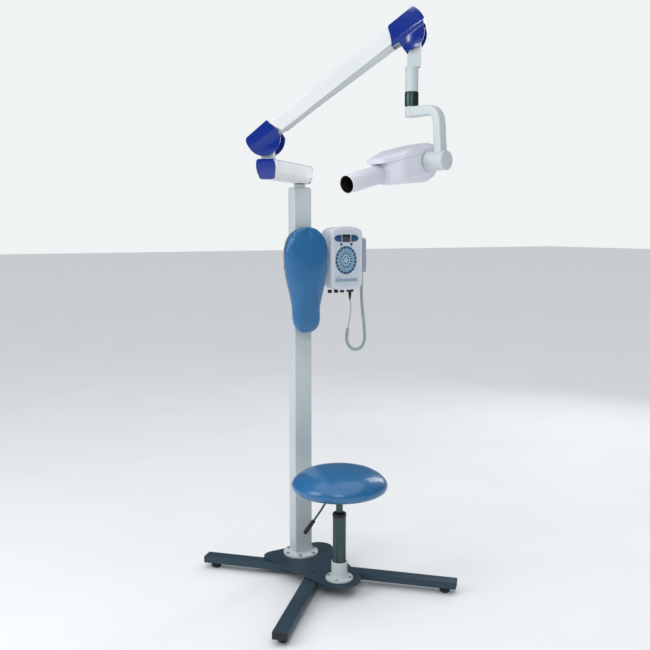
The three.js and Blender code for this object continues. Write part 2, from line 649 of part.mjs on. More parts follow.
// The cover's section across the arm: a box with rounded upper edges.
function coverSection(inset = 0) {
  const w = ARM.halfWidth - inset;
  const [low, high] = [ARM.low + inset, ARM.high - inset];
  const r = 13 - inset;
  const outer = new THREE.Shape();
  outer.moveTo(-w, low);
  outer.lineTo(w, low);
  outer.lineTo(w, high - r);
  outer.quadraticCurveTo(w, high, w - r, high);
  outer.lineTo(-w + r, high);
  outer.quadraticCurveTo(-w, high, -w, high - r);
  return new THREE.Shape(distinct(outer.getPoints(4)));
}

function buildArm(arm) {
  const { length } = SCISSOR;
  const run = length - ARM.start - ARM.end + 8;
  const sleeveOf = cut(
    slabYZ(coverSection(), -4, run),
    slabYZ(coverSection(2.5), -5, run + 1),
    block(length + 20, 2 * (CHANNEL.half + GAP), 20, length / 2 - 20, 0, ARM.low),
  );
  const leaning = sleeveOf.rotateY(-rad(ARM.lean)).translate(ARM.start, 0, 0);
  const w = ARM.halfWidth + 9;
  const cover = cut(leaning, armSlab(jointLine(ARM.start, JOINT_SLANT.low, -1, GAP), -w, w),
    armSlab(jointLine(length - ARM.end, -JOINT_SLANT.high, 1, GAP), -w, w));
  piece(arm, "scissor_cover", cover, WHITE);

  // the load-bearing channel, with an ear around each pivot
  const side = new THREE.Shape();
  side.absarc(0, 0, CHANNEL.ear, Math.PI / 2, 1.5 * Math.PI, false);
  side.lineTo(50, CHANNEL.low);
  side.lineTo(length - 60, CHANNEL.low);
  side.absarc(length, 0, CHANNEL.ear, -Math.PI / 2, Math.PI / 2, false);
  side.lineTo(length - 60, CHANNEL.high);
  side.lineTo(50, CHANNEL.high);
  const profile = new THREE.Shape(distinct(side.getPoints(10)));
  const { half, wall } = CHANNEL;
  const channel = cut(
    join(armSlab(profile, -half, half)),
    block(length + 100, 2 * (half - wall), 80, length / 2, 0, 40 + CHANNEL.low + wall),
    block(110, 2 * (half - wall), 80, -5, 0, 0),
    block(130, 2 * (half - wall), 80, length + 5, 0, 0),
    armSlab(disc(PIVOT_PIN_RADIUS, 0, 0), -half - 1, half + 1),
    armSlab(disc(PIVOT_PIN_RADIUS, length, 0), -half - 1, half + 1),
  );
  piece(arm, "scissor_channel", channel, WHITE);
  for (const [name, x] of [["lower_pivot_pin", 0], ["upper_pivot_pin", length]]) {
    piece(arm, name, slabXZ(disc(PIVOT_PIN_RADIUS - GAP, x, 0, 16), -half - 0.5, half + 0.5), BRIGHT);
  }
  // balance spring between the lower ear and mid-arm
  const spring = post(SPRING.radius, SPRING.from, SPRING.to, 14).rotateY(Math.PI / 2);
  piece(arm, "balance_spring", spring.translate(0, SPRING.y, SPRING.z), STEEL);
  buildKnuckleCovers(arm);
}

// The region beyond a joint line between the arm's cover and a knuckle's hood. The line starts at a distance
// along the arm at the top and shifts by the slant on its way down, and side says where the hood lies.
function jointLine(along, slant, side, clear) {
  const x = along - side * clear;
  const far = along + side * 140;
  const shape = new THREE.Shape();
  shape.moveTo(far, 60);
  shape.lineTo(x - slant * 0.45, 60);
  shape.lineTo(x, 40);
  shape.quadraticCurveTo(x + slant * 0.25, 8, x + slant, -20);
  shape.lineTo(x + slant * 1.2, -90);
  shape.lineTo(far, -90);
  return new THREE.Shape(distinct(shape.getPoints(6)));
}

function buildKnuckleCovers(arm) {
  const w = ARM.halfWidth + 1.5;
  const R = KNUCKLE_RADIUS;
  const { length } = SCISSOR;
  // lower cover: a round hood, open below for the bracket and towards the arm
  const low = new THREE.Shape();
  low.moveTo(90, -30);
  low.lineTo(90, 44.5);
  low.lineTo(-46, 34);
  low.quadraticCurveTo(-56, 28, -55, 14);
  low.absarc(0, 0, R, Math.PI - 0.25, 2 * Math.PI - 0.57, false);
  const lowOuter = common(
    armSlab(new THREE.Shape(distinct(low.getPoints(14))), -w, w),
    armSlab(jointLine(ARM.start, JOINT_SLANT.low, -1, 0), -w - 1, w + 1),
  );
  const pocket = cut(block(200, 2 * (CHANNEL.half + 1.2), 200, 0, 0, -66), armSlab(behind(-R, 8), -w, w));
  const doorway = block(60, 2 * (CHANNEL.half + 1.2), 54, 52, 0, 7);
  piece(arm, "knuckle_cover_lower", cut(lowOuter, pocket, doorway), ROYAL);

  const high = new THREE.Shape();
  high.moveTo(-90, -22);
  high.lineTo(-90, 46.5);
  high.lineTo(58, 52);
  high.quadraticCurveTo(71, 28, 68, 4);
  high.quadraticCurveTo(66, -6, 56, -8);
  high.absarc(0, 0, 56.5, -0.15, -2.25, true);
  high.lineTo(-52, -22);
  const shifted = new THREE.Shape(distinct(high.getPoints(12)));
  const highOuter = common(
    armSlab(shifted, -w, w).translate(length, 0, 0),
    armSlab(jointLine(length - ARM.end, -JOINT_SLANT.high, 1, 0), -w - 1, w + 1),
  );
  const pocket2 = block(200, 2 * (CHANNEL.half + 1.2), 200, length - 40, 0, -62);
  piece(arm, "knuckle_cover_upper", cut(highOuter, pocket2), ROYAL);
}

// A strip that closes the lower hood's far end above the slot.
const behind = (x, thick) => polygon([[x, -14], [x + thick, -14], [x + thick, 40], [x, 40]]);

// ---------------------------------------------------------------- head bracket, yoke and tube head

function buildHeadBracket(head) {
  const z = (world) => world - UPPER_PIVOT_Z;
  const ahead = HEAD_AXIS_AHEAD;
  const t = BRACKET.thick / 2;
  const outline = new THREE.Shape();
  outline.absarc(0, 0, 22, 0.9, Math.PI + 0.8, false);
  outline.lineTo(ahead - 3.5, z(1832));
  outline.quadraticCurveTo(ahead - 10, z(1815), ahead - 13, z(1790));
  outline.lineTo(ahead - 13, z(1768));
  outline.lineTo(ahead + 27, z(1768));
  outline.lineTo(ahead + 27, z(1862));
  outline.quadraticCurveTo(ahead + 26, z(1874), ahead + 14, z(1880));
  const plate = armSlab(new THREE.Shape(distinct(outline.getPoints(10))), -t, t);
  const stem = post(HEAD_STEM.radius, z(HEAD_STEM.bottom), z(HEAD_STEM.top) + 2, 28).translate(ahead, 0, 0);
  const pin = post(7.5, z(YOKE.top - YOKE.height) + 5, z(HEAD_STEM.bottom) + 2, 20).translate(ahead, 0, 0);
  const stud = slabXZ(disc(ROD.pin, 0, ROD.rise, 12), t - 1, ROD.far + 0.6);
  const bore = armSlab(disc(PIVOT_PIN_RADIUS + GAP, 0, 0), -t - 1, t + 1);
  piece(head, "head_bracket", cut(join(plate, stem, pin, stud), bore), WHITE);
}

const UPPER_PIVOT_Z = SCISSOR.pivotZ + SCISSOR.length * Math.sin(rad(SCISSOR.rise));

function buildYoke(head) {
  const yoke = group(head, HEAD_AXIS_AHEAD, 0, -UPPER_PIVOT_Z);
  yoke.rotation.z = rad(YOKE.angle - SCISSOR.angle);
  const { hubTop, top, height, depth, leg, reach, bend } = YOKE;
  const ring = sleeve(SWIVEL_RING.radius, 8, SWIVEL_RING.bottom, HEAD_STEM.bottom - GAP, 28);
  piece(yoke, "swivel_ring", ring, BRIGHT);
  // side view of the gooseneck in X-Z: out from the hub, round the bend and down into the knuckle
  const bottom = TILT_Z + 10;
  const side = new THREE.Shape();
  side.moveTo(0, top - height);
  side.lineTo(reach - leg - 28, top - height);
  side.quadraticCurveTo(reach - leg - 7, top - height, reach - leg - 6, top - height - 24);
  side.lineTo(reach - leg + 1, bottom);
  side.lineTo(reach + 3, bottom);
  side.lineTo(reach - 4, top - bend);
  side.quadraticCurveTo(reach - 8, top, reach - bend - 4, top);
  side.lineTo(0, top);
  const neck = slabXZ(new THREE.Shape(distinct(side.getPoints(6))), -depth / 2, depth / 2);
  const hub = post(19.5, top - height, hubTop - GAP, 28);
  const barrel = post(KNUCKLE.radius, KNUCKLE.inner, KNUCKLE.outer, 28).rotateY(Math.PI / 2);
  const shaftBore = post(9 + GAP, KNUCKLE.inner - 1, KNUCKLE.outer - 8, 20).rotateY(Math.PI / 2);
  const pinBore = post(7.5 + GAP, top - height + 4, hubTop + 1, 20);
  for (const across of [barrel, shaftBore]) across.translate(0, 0, TILT_Z);
  const body = cut(join(neck, hub, barrel), shaftBore, pinBore);
  piece(yoke, "yoke", body, WHITE);
  return yoke;
}

// The head in its own frame: X along the cone, Y across, Z up, about the tilt axis.
function buildHead(yoke) {
  const head = group(yoke, 0, 0, TILT_Z);
  head.rotation.z = -Math.PI / 2;
  const tilt = group(head);
  tilt.rotation.y = rad(HEAD_TILT);
  const { half, rear, cheek, nose, chin, lip, bottom, skirt, seam, hood, top } = HEAD;
  // a closed outline from the tail to the nose along one side and back along the other
  const ring = (points) => [...points.map(([x, y, z]) => new THREE.Vector3(x, -y, z)),
    ...points.toReversed().map(([x, y, z]) => new THREE.Vector3(x, y, z))];
  const tray = loft([
    ring([[rear + 8, 30, bottom + 6], [rear + 45, 48, bottom - 4], [rear + 92, 52, bottom - 12],
      [95, 50, bottom + 3], [chin - 14, 20, bottom + 7]]),
    ring([[rear + 2, 34, skirt], [rear + 50, 65, skirt - 1], [0, 65, skirt - 2], [cheek, 65, skirt],
      [chin, 31, skirt - 2]]),
    ring([[rear + 2, 34, skirt + 6], [rear + 50, 65, skirt + 6], [0, 65, skirt + 6],
      [cheek, 65, skirt + 6], [chin, 31, skirt + 3]]),
  ]);
  const walls = loft([
    ring([[rear + 2, 34, skirt], [rear + 50, 65, skirt], [0, 65, skirt], [cheek, 65, skirt],
      [nose, 34, skirt]]),
    ring([[rear, 35, seam - GAP], [rear + 50, half, seam - GAP], [0, half, seam - GAP],
      [cheek, half, seam - GAP], [nose, 34, seam - GAP]]),
  ]);
  const hollow = loft([
    ring([[rear + 14, 28, bottom + 16], [rear + 54, 56, bottom + 10], [95, 46, bottom + 12],
      [nose - 6, 24, bottom + 16]]),
    ring([[rear + 6, 31, skirt + 8], [rear + 54, 61.5, skirt + 8], [cheek - 4, 61.5, skirt + 8],
      [nose - 5, 31, skirt + 8]]),
    ring([[rear + 5, 31, seam + 1], [rear + 54, half - 4, seam + 1], [cheek - 4, half - 4, seam + 1],
      [nose - 5, 31, seam + 1]]),
  ]);
  const shaftBore = post(9 + GAP, half - 20, half + 1, 20).rotateX(-Math.PI / 2);
  const mouth = alongX(post(CONE.collar + GAP, CONE.root - 40, CONE.root + 60, 28));
  const inside = (shell, low, high) => shell.clone().translate(-27, 0, -low).scale(0.955, 0.94, 0.955)
    .translate(27, 0, high);
  piece(tilt, "head_lower_shell", cut(join(tray, walls), hollow, shaftBore, mouth), SHELL);
  const upper = loft([
    ring([[rear, 35, seam], [rear + 50, half, seam], [105, half, seam], [lip, 32, seam]]),
    ring([[rear + 5, 32, hood - 1], [rear + 53, 62, hood - 3], [95, 63, hood - 2], [lip - 2, 31, hood]]),
    ring([[rear + 22, 20, top - 2], [rear + 64, 40, top], [62, 58, top], [lip - 26, 28, hood + 4]]),
  ]);
  piece(tilt, "head_upper_shell", cut(upper, inside(upper, seam, seam - 1)), SHELL);
  const tank = post(32, rear + 44, 76, 28).rotateY(Math.PI / 2).translate(0, 0, -5);
  piece(tilt, "tube_tank", tank, BRIGHT);
  const collar = sleeve(CONE.collar, CONE.radius + GAP, CONE.root - 12, CONE.root + 14, 28);
  piece(tilt, "cone_collar", alongX(collar), SHELL);
  const cone = lathe([[CONE.bore, CONE.root - 10], [CONE.radius, CONE.root - 10], [CONE.radius, CONE.mouth],
    [CONE.bore, CONE.mouth], [CONE.bore, CONE.root - 10]], 28);
  piece(tilt, "beam_cone", alongX(cone), WHITE);
  piece(tilt, "tilt_shaft", post(9, half - 18, KNUCKLE.outer - 9, 20).rotateX(-Math.PI / 2), STEEL);
}

const alongX = (geometry) => geometry.rotateY(Math.PI / 2).translate(0, 0, CONE.drop);

// ---------------------------------------------------------------- assembly

buildLegs();
buildPlate();
buildColumn();
buildBackrest();
buildControlBox();
buildConnectors();
buildHandset();
buildCord();
buildStool();
const extension = buildExtension();
const yoke = buildYoke(buildScissor(extension));
buildHead(yoke);

const CORD_NODES = ["cord_lead", "cord_curl", "cord_strain_relief"];
unit.updateMatrixWorld(true);
const extent = new THREE.Box3();
unit.traverse((o) => {
  if (o.isMesh && !CORD_NODES.includes(o.name)) extent.expandByObject(o, true);
});
const shift = group(new THREE.Group());
shift.position.set(-(extent.min.x + extent.max.x) / 2, -(extent.min.y + extent.max.y) / 2, -extent.min.z);
shift.add(unit);
export default shift.parent;
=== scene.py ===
"""The looks of a floor-standing intraoral x-ray unit with a stool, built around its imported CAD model.

Objects are in metres in the CAD's own frame. A piece is drawn in millimetres in a local frame, which comes
from the CAD nodes' boxes and the joints' places and axes, and is scaled to metres as it is made.
"""
import json
import math

import bmesh
import bpy
from mathutils import Matrix, Vector

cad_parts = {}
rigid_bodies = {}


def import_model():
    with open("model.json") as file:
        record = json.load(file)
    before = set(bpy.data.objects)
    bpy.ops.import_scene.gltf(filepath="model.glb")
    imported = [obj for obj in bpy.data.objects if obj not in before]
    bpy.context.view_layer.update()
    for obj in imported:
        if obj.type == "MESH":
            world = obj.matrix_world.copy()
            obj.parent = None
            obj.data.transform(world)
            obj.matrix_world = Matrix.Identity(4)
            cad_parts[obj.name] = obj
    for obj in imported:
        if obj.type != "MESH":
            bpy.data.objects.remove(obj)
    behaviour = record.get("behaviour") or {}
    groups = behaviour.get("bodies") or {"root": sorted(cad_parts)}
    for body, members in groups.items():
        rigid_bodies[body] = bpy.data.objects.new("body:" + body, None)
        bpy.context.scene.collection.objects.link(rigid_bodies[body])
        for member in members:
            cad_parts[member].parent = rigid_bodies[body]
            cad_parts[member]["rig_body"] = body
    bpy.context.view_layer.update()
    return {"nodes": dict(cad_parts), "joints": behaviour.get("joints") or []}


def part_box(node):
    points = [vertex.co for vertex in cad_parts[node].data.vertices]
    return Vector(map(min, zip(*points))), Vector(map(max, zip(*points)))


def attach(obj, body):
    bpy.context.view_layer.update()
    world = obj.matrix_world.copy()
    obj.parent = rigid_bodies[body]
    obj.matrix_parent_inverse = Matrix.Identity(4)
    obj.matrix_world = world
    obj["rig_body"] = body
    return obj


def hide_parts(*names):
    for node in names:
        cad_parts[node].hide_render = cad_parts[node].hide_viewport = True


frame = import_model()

MM = Matrix.Scale(0.001, 4)
NODES = frame["nodes"]
JOINTS = {joint["name"]: joint for joint in frame["joints"]}
scene = bpy.context.scene


# ---------------------------------------------------------------- local frames

def local(origin, along=(1, 0, 0), up=(0, 0, 1)):
    """The frame at origin with X along one direction and Z as near up as that leaves."""
    x = Vector(along).normalized()
    y = Vector(up).cross(x).normalized()
    return Matrix.Translation(origin) @ Matrix((x, y, x.cross(y))).transposed().to_4x4()


def shifted(place, x=0.0, y=0.0, z=0.0):
    """A frame moved along its own axes, in millimetres."""
    return place @ Matrix.Translation((x / 1000, y / 1000, z / 1000))


def turned(place, axis, degrees):
    return place @ Matrix.Rotation(math.radians(degrees), 4, axis)


def middle(node):
    low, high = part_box(node)
    return (low + high) / 2


def pivot(joint):
    return Vector(JOINTS[joint]["pos_m"])


def level(vector):
    return Vector((vector.x, vector.y, 0))


COLUMN_Y = 134  # millimetres from the point where the legs cross back to the column
COLUMN = local(level(middle("column_tube")))
UNIT = shifted(COLUMN, y=-COLUMN_Y)
STOOL = local(level(middle("stool_outer_tube")))
EXTENSION = local(level(pivot("extension_swivel")) + Vector((0, 0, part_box("extension_tube")[0].z)),
                  level(pivot("arm_swivel") - pivot("extension_swivel")))
ARM = local(pivot("arm_lift"), pivot("head_level") - pivot("arm_lift"))
ARM_LENGTH = (pivot("head_level") - pivot("arm_lift")).length * 1000
YOKE = local(level(pivot("yoke_swivel")), JOINTS["head_tilt"]["axis"])
HEAD = local(level(pivot("yoke_swivel")) + Vector((0, 0, pivot("head_tilt").z)),
             middle("beam_cone") - middle("cone_collar"))


# ---------------------------------------------------------------- camera and light

def add_camera():
    data = bpy.data.cameras.new("camera")
    data.lens = 48.12
    camera = bpy.data.objects.new("camera", data)
    camera.location = (-1.5004, -2.5572, 1.2749)
    camera.rotation_euler = (math.radians(83.55), 0, math.radians(-30))
    scene.collection.objects.link(camera)
    scene.camera = camera


def softbox(name, place, target, size, power, colour=(1, 1, 1)):
    data = bpy.data.lights.new(name, "AREA")
    data.shape = "RECTANGLE"
    data.size, data.size_y = size
    data.energy = power
    data.color = colour
    light = bpy.data.objects.new(name, data)
    light.location = place
    light.rotation_euler = (Vector(target) - Vector(place)).to_track_quat("-Z", "Y").to_euler()
    scene.collection.objects.link(light)


def add_studio():
    scene.view_settings.view_transform = "Standard"
    world = bpy.data.worlds.new("studio")
    world.use_nodes = True
    tree = world.node_tree
    sky = tree.nodes["Background"]
    sky.inputs["Color"].default_value = (0.9, 0.95, 1.0, 1)
    sky.inputs["Strength"].default_value = 0.38
    backdrop = tree.nodes.new("ShaderNodeBackground")
    backdrop.inputs["Color"].default_value = (0.87, 0.9, 0.9, 1)
    mirrored = tree.nodes.new("ShaderNodeBackground")
    mirrored.inputs["Color"].default_value = (0.12, 0.13, 0.15, 1)
    rays = tree.nodes.new("ShaderNodeLightPath").outputs
    shade = sky.outputs[0]
    for kind, other in (("Is Glossy Ray", mirrored), ("Is Camera Ray", backdrop)):
        choice = tree.nodes.new("ShaderNodeMixShader")
        tree.links.new(rays[kind], choice.inputs[0])
        tree.links.new(shade, choice.inputs[1])
        tree.links.new(other.outputs[0], choice.inputs[2])
        shade = choice.outputs[0]
    tree.links.new(shade, tree.nodes["World Output"].inputs["Surface"])
    scene.world = world
    chest = (0, 0, 1.1)
    softbox("key_left", (-3.4, 0.3, 2.6), chest, (1.6, 2.4), 47)
    softbox("strip_front", (-1.9, -2.6, 3.3), chest, (1.5, 0.35), 22)
    softbox("window_low", (-1.35, -2.3, 1.95), (0, -0.1, 0.5), (0.9, 0.12), 5)
    ceiling = bpy.data.lights.new("ceiling", "SUN")
    ceiling.energy = 1.15
    ceiling.angle = math.radians(70)
    scene.collection.objects.link(bpy.data.objects.new("ceiling", ceiling))
    softbox("rim_right", (3.2, 1.6, 2.2), chest, (0.8, 2.4), 20)

    mesh = bpy.data.meshes.new("floor")
    floor = bmesh.new()
    bmesh.ops.create_grid(floor, x_segments=2, y_segments=2, size=40)
    floor.to_mesh(mesh)
    ground = bpy.data.objects.new("floor", mesh)
    ground.location.z = -0.0005
    look = Shader("floor_paint", roughness=0.6)
    look.colour(look.vary((0.92, 0.93, 0.94), 0.01, 2.0))
    mesh.materials.append(look.material)
    scene.collection.objects.link(ground)


# ---------------------------------------------------------------- materials

def srgb(code):
    """A hex colour as linear red, green and blue."""
    parts = [int(code[i:i + 2], 16) / 255 for i in (0, 2, 4)]
    return tuple(p / 12.92 if p <= 0.04045 else ((p + 0.055) / 1.055) ** 2.4 for p in parts)


class Shader:
    """A node material on one Principled shader, textured in the row frame's metres."""

    def __init__(self, name, roughness=0.5, metallic=0.0, coat=0.0, coat_roughness=0.05, ior=1.5):
        self.material = bpy.data.materials.new(name)
        self.material.use_nodes = True
        self.tree = self.material.node_tree
        self.shader = self.tree.nodes["Principled BSDF"]
        self.shader.inputs["Roughness"].default_value = roughness
        self.shader.inputs["Metallic"].default_value = metallic
        self.shader.inputs["Coat Weight"].default_value = coat
        self.shader.inputs["Coat Roughness"].default_value = coat_roughness
        self.shader.inputs["IOR"].default_value = ior
        self.place = self.tree.nodes.new("ShaderNodeTexCoord").outputs["Object"]
        self.normal = None

    def node(self, kind, inputs=(), **settings):
        made = self.tree.nodes.new(kind)
        for key, value in settings.items():
            setattr(made, key, value)
        for key, value in dict(inputs).items():
            if isinstance(value, bpy.types.NodeSocket):
                self.tree.links.new(value, made.inputs[key])
            else:
                made.inputs[key].default_value = value
        return made

    def stretched(self, scale):
        return self.node("ShaderNodeMapping", {"Vector": self.place, "Scale": scale}).outputs["Vector"]

    def noise(self, scale, detail=3.0, stretch=None, distortion=0.0):
        vector = self.stretched(stretch) if stretch else self.place
        return self.node("ShaderNodeTexNoise", {"Vector": vector, "Scale": scale, "Detail": detail,
                                                "Distortion": distortion}).outputs["Fac"]

    def cells(self, scale, feature="DISTANCE_TO_EDGE"):
        """Voronoi cells whose borders wander, as leather grain does."""
        wander = self.node("ShaderNodeTexNoise", {"Vector": self.place, "Scale": scale * 0.6})
        shift = {0: wander.outputs["Color"], 1: (0.6 / scale,) * 3}
        pushed = self.node("ShaderNodeVectorMath", shift, operation="MULTIPLY")
        vector = self.node("ShaderNodeVectorMath", {0: self.place, 1: pushed.outputs[0]}, operation="ADD")
        return self.node("ShaderNodeTexVoronoi", {"Vector": vector.outputs[0], "Scale": scale},
                         feature=feature).outputs["Distance"]

    def between(self, value, low, high, out_low=0.0, out_high=1.0):
        return self.node("ShaderNodeMapRange", {"Value": value, "From Min": low, "From Max": high,
                                                "To Min": out_low, "To Max": out_high}).outputs["Result"]

    def mix(self, factor, a, b):
        made = self.node("ShaderNodeMix", data_type="RGBA")
        for index, value in ((0, factor), (6, a), (7, b)):
            if isinstance(value, bpy.types.NodeSocket):
                self.tree.links.new(value, made.inputs[index])
            else:
                made.inputs[index].default_value = value if index == 0 else (*value[:3], 1)
        return made.outputs[2]

    def vary(self, colour, amount, scale):
        """A colour that drifts a little lighter and darker over the surface."""
        light = tuple(min(1, c * (1 + amount) + amount * 0.03) for c in colour)
        dark = tuple(c * (1 - amount) for c in colour)
        return self.mix(self.between(self.noise(scale), 0.35, 0.65), dark, light)

    def worn(self, colour, edge, amount=0.5):
        """Rubbed, lighter edges."""
        point = self.node("ShaderNodeNewGeometry").outputs["Pointiness"]
        rubbed = self.between(point, 0.53, 0.6, 0, amount)
        return self.mix(rubbed, colour, edge)

    def colour(self, socket):
        self.tree.links.new(socket, self.shader.inputs["Base Color"])
        return self

    def roughness(self, low, high, scale=30.0, stretch=None):
        value = self.between(self.noise(scale, 4, stretch), 0.3, 0.7, low, high)
        self.tree.links.new(value, self.shader.inputs["Roughness"])
        return self

    def bump(self, height, distance, strength=0.5):
        inputs = {"Height": height, "Distance": distance, "Strength": strength}
        if self.normal:
            inputs["Normal"] = self.normal
        self.normal = self.node("ShaderNodeBump", inputs).outputs["Normal"]
        self.tree.links.new(self.normal, self.shader.inputs["Normal"])
        return self


def powder_coat(name, code, low, high, grain, metallic=0.0, edge=1.25, coat=0.0):
    """Sprayed paint with orange peel, slightly rubbed on its edges."""
    base = srgb(code)
    look = Shader(name, metallic=metallic, coat=coat)
    rubbed = tuple(min(1, c * edge + 0.01) for c in base)
    look.colour(look.worn(look.vary(base, 0.035, 7.0), rubbed))
    look.roughness(low, high, 18.0)
    look.bump(look.noise(700.0 / grain, 2), 0.00006 * grain, 0.35)
    look.bump(look.noise(2600.0, 2), 0.00002, 0.3)
    return look.material


def moulded(name, code, low, high, spark=0.35, coat=0.0, vary=0.025):
    """Moulded plastic with a spark-eroded texture and faint flow marks."""
    look = Shader(name, coat=coat)
    base = srgb(code)
    look.colour(look.worn(look.vary(base, vary, 5.0), tuple(min(1, c * 1.15 + 0.012) for c in base), 0.4))
    look.roughness(low, high, 45.0)
    look.bump(look.noise(3000.0, 2), 0.00002, spark)
    look.bump(look.noise(35.0, 1), 0.0002, 0.05)
    return look.material


def leatherette(name, code):
    """Glossy upholstery vinyl with a fine pressed grain, its creases painted darker as painted shade."""
    look = Shader(name, coat=0.55, coat_roughness=0.07)
    base = srgb(code)
    crease_shade_colour = tuple(c * 0.72 for c in base)
    grain = look.cells(620.0)
    # painted shade: the colour darkens to 72% along the grain's creases
    crease_shade = look.between(grain, 0.0, 0.12)
    look.colour(look.mix(crease_shade, crease_shade_colour, look.vary(base, 0.06, 9.0)))
    look.roughness(0.3, 0.42, 60.0)
    look.bump(look.between(grain, 0.0, 0.25), 0.00016, 0.16)
    look.bump(look.noise(1900.0, 3), 0.00005, 0.12)
    look.bump(look.noise(22.0, 1), 0.0012, 0.06)
    return look.material


def brushed(name, code, low, high, stretch, coat=0.0):
    """Drawn or turned metal, brushed along one axis."""
    look = Shader(name, metallic=1.0, coat=coat)
    base = srgb(code)
    lines = look.noise(900.0, 3, stretch)
    look.colour(look.mix(look.between(lines, 0.3, 0.7), tuple(c * 0.86 for c in base), base))
    look.roughness(low, high, 500.0, stretch)
    look.bump(lines, 0.00003, 0.3)
    return look.material


def rubber(name, code):
    look = Shader(name)
    look.colour(look.vary(srgb(code), 0.12, 30.0))
    look.roughness(0.6, 0.8, 80.0)
    look.bump(look.noise(1200.0, 4), 0.0001, 0.4)
    return look.material


def plywood(name):
    look = Shader(name)
    wave = look.node("ShaderNodeTexWave", {"Vector": look.stretched((1, 0.15, 1)), "Scale": 60.0,
                                           "Distortion": 4.0, "Detail": 3.0}).outputs["Fac"]
    look.colour(look.mix(wave, srgb("7a5c38"), srgb("b08d5c")))
    look.roughness(0.6, 0.75)
    look.bump(wave, 0.0001, 0.3)
    return look.material


def circuit(name):
    look = Shader(name, coat=0.3)
    bricks = look.node("ShaderNodeTexBrick", {"Vector": look.stretched((1, 0, 1)), "Scale": 90.0,
                                              "Mortar Size": 0.03, "Color1": (*srgb("1d5c34"), 1),
                                              "Color2": (*srgb("27703f"), 1), "Mortar": (*srgb("9b8e4a"), 1)})
    look.colour(bricks.outputs["Color"])
    look.roughness(0.3, 0.45, 200.0)
    return look.material


def glass_panel(name, code):
    """A dark display behind a hard glossy window."""
    look = Shader(name, coat=1.0, coat_roughness=0.02)
    look.colour(look.vary(srgb(code), 0.15, 60.0))
    look.roughness(0.12, 0.2, 120.0)
    look.bump(look.noise(90.0, 1), 0.00005, 0.1)
    return look.material


LOOKS = {
    "slate_paint": powder_coat("slate_paint", "263f4d", 0.42, 0.55, 1.0, metallic=0.15, edge=1.6),
    "white_paint": powder_coat("white_paint", "cbd4d6", 0.32, 0.42, 1.2, edge=1.05),
    "white_aluminium": powder_coat("white_aluminium", "e3e6e8", 0.28, 0.38, 1.4, edge=1.05),
    "white_plastic": moulded("white_plastic", "dddfe9", 0.36, 0.48),
    "royal_blue_plastic": moulded("royal_blue_plastic", "062a88", 0.1, 0.16, 0.06, coat=0.3),
    "blue_vinyl": leatherette("blue_vinyl", "1c6ea6"),
    "dark_steel": brushed("dark_steel", "4c5f5f", 0.3, 0.45, (1, 1, 0.02)),
    "bright_steel": brushed("bright_steel", "b9c2c4", 0.22, 0.34, (1, 1, 0.05)),
    "black_plastic": moulded("black_plastic", "17191b", 0.4, 0.55, 0.5),
    "rubber": rubber("rubber", "1b1d1e"),
    "keypad": moulded("keypad", "1c4a74", 0.3, 0.4, 0.3, coat=0.3),
    "display": glass_panel("display", "0e1c26"),
    "circuit_board": circuit("circuit_board"),
    "board": plywood("board"),
    "cord": moulded("cord", "a9bfb8", 0.38, 0.5, 0.3),
    "tank": brushed("tank", "a5aaac", 0.4, 0.55, (0.05, 1, 1)),
}
MEMBRANE = moulded("membrane", "a9c3d6", 0.4, 0.5, 0.2)
PANEL = moulded("panel_film", "ccd6de", 0.42, 0.52, 0.25)
LABEL = moulded("label_print", "8fa4b2", 0.5, 0.6, 0.15)
BORE = rubber("lead_lining", "0c0d0e")
PALE_KEY = moulded("pale_key", "6d9cba", 0.4, 0.5, 0.2)
# painted shade: the handset is given a darker plastic than the box's pale plastic, for the shadow on its side
SHADED_HANDSET = moulded("handset_painted_shade", "9ba6bd", 0.42, 0.52)


# ---------------------------------------------------------------- mesh helpers

def rounded(points, radius, steps=6):
    """A closed outline with its corners rounded."""
    made = []
    for i, corner in enumerate(points):
        p = Vector(corner)
        ends = []
        for neighbour in (Vector(points[i - 1]), Vector(points[(i + 1) % len(points)])):
            reach = min(radius, 0.48 * (neighbour - p).length)
            ends.append(p + (neighbour - p).normalized() * reach)
        for k in range(steps + 1):
            t = k / steps
            made.append(ends[0] * (1 - t) ** 2 + p * (2 * t * (1 - t)) + ends[1] * t ** 2)
    return made


def rectangle(width, height, radius, steps=5):
    x, y = width / 2, height / 2
    return rounded([(-x, -y), (x, -y), (x, y), (-x, y)], radius, steps)


def loft(rings):
    """A skin over rings of the same number of points, with flat ends."""
    bm = bmesh.new()
    rows = [[bm.verts.new(p) for p in ring] for ring in rings]
    for a, b in zip(rows, rows[1:]):
        for i in range(len(a)):
            j = (i + 1) % len(a)
            bm.faces.new((a[i], a[j], b[j], b[i]))
    bm.faces.new(rows[0][::-1])
    bm.faces.new(rows[-1])
    bmesh.ops.recalc_face_normals(bm, faces=bm.faces)
    return bm


def slab(outline, low, high, axes="xz"):
    """An outline in two axes, drawn out along the third."""
    def at(p, t):
        return {"xz": (p[0], t, p[1]), "xy": (p[0], p[1], t), "yz": (t, p[0], p[1])}[axes]
    return loft([[at(p, low) for p in outline], [at(p, high) for p in outline]])


def lathe(profile, steps=72):
    """A profile of radius and height, turned about Z."""
    bm = bmesh.new()
    rows = []
    for radius, height in profile:
        if radius < 1e-6:
            rows.append([bm.verts.new((0, 0, height))] * steps)
            continue
        angles = [2 * math.pi * k / steps for k in range(steps)]
        rows.append([bm.verts.new((radius * math.cos(a), radius * math.sin(a), height)) for a in angles])
    for a, b in zip(rows, rows[1:]):
        for i in range(steps):
            j = (i + 1) % steps
            corners = list(dict.fromkeys((a[i], a[j], b[j], b[i])))
            if len(corners) > 2:
                bm.faces.new(corners)
    for row in (rows[0], rows[-1]):
        if len(set(row)) > 1:
            bm.faces.new(row)
    bmesh.ops.recalc_face_normals(bm, faces=bm.faces)
    return bm


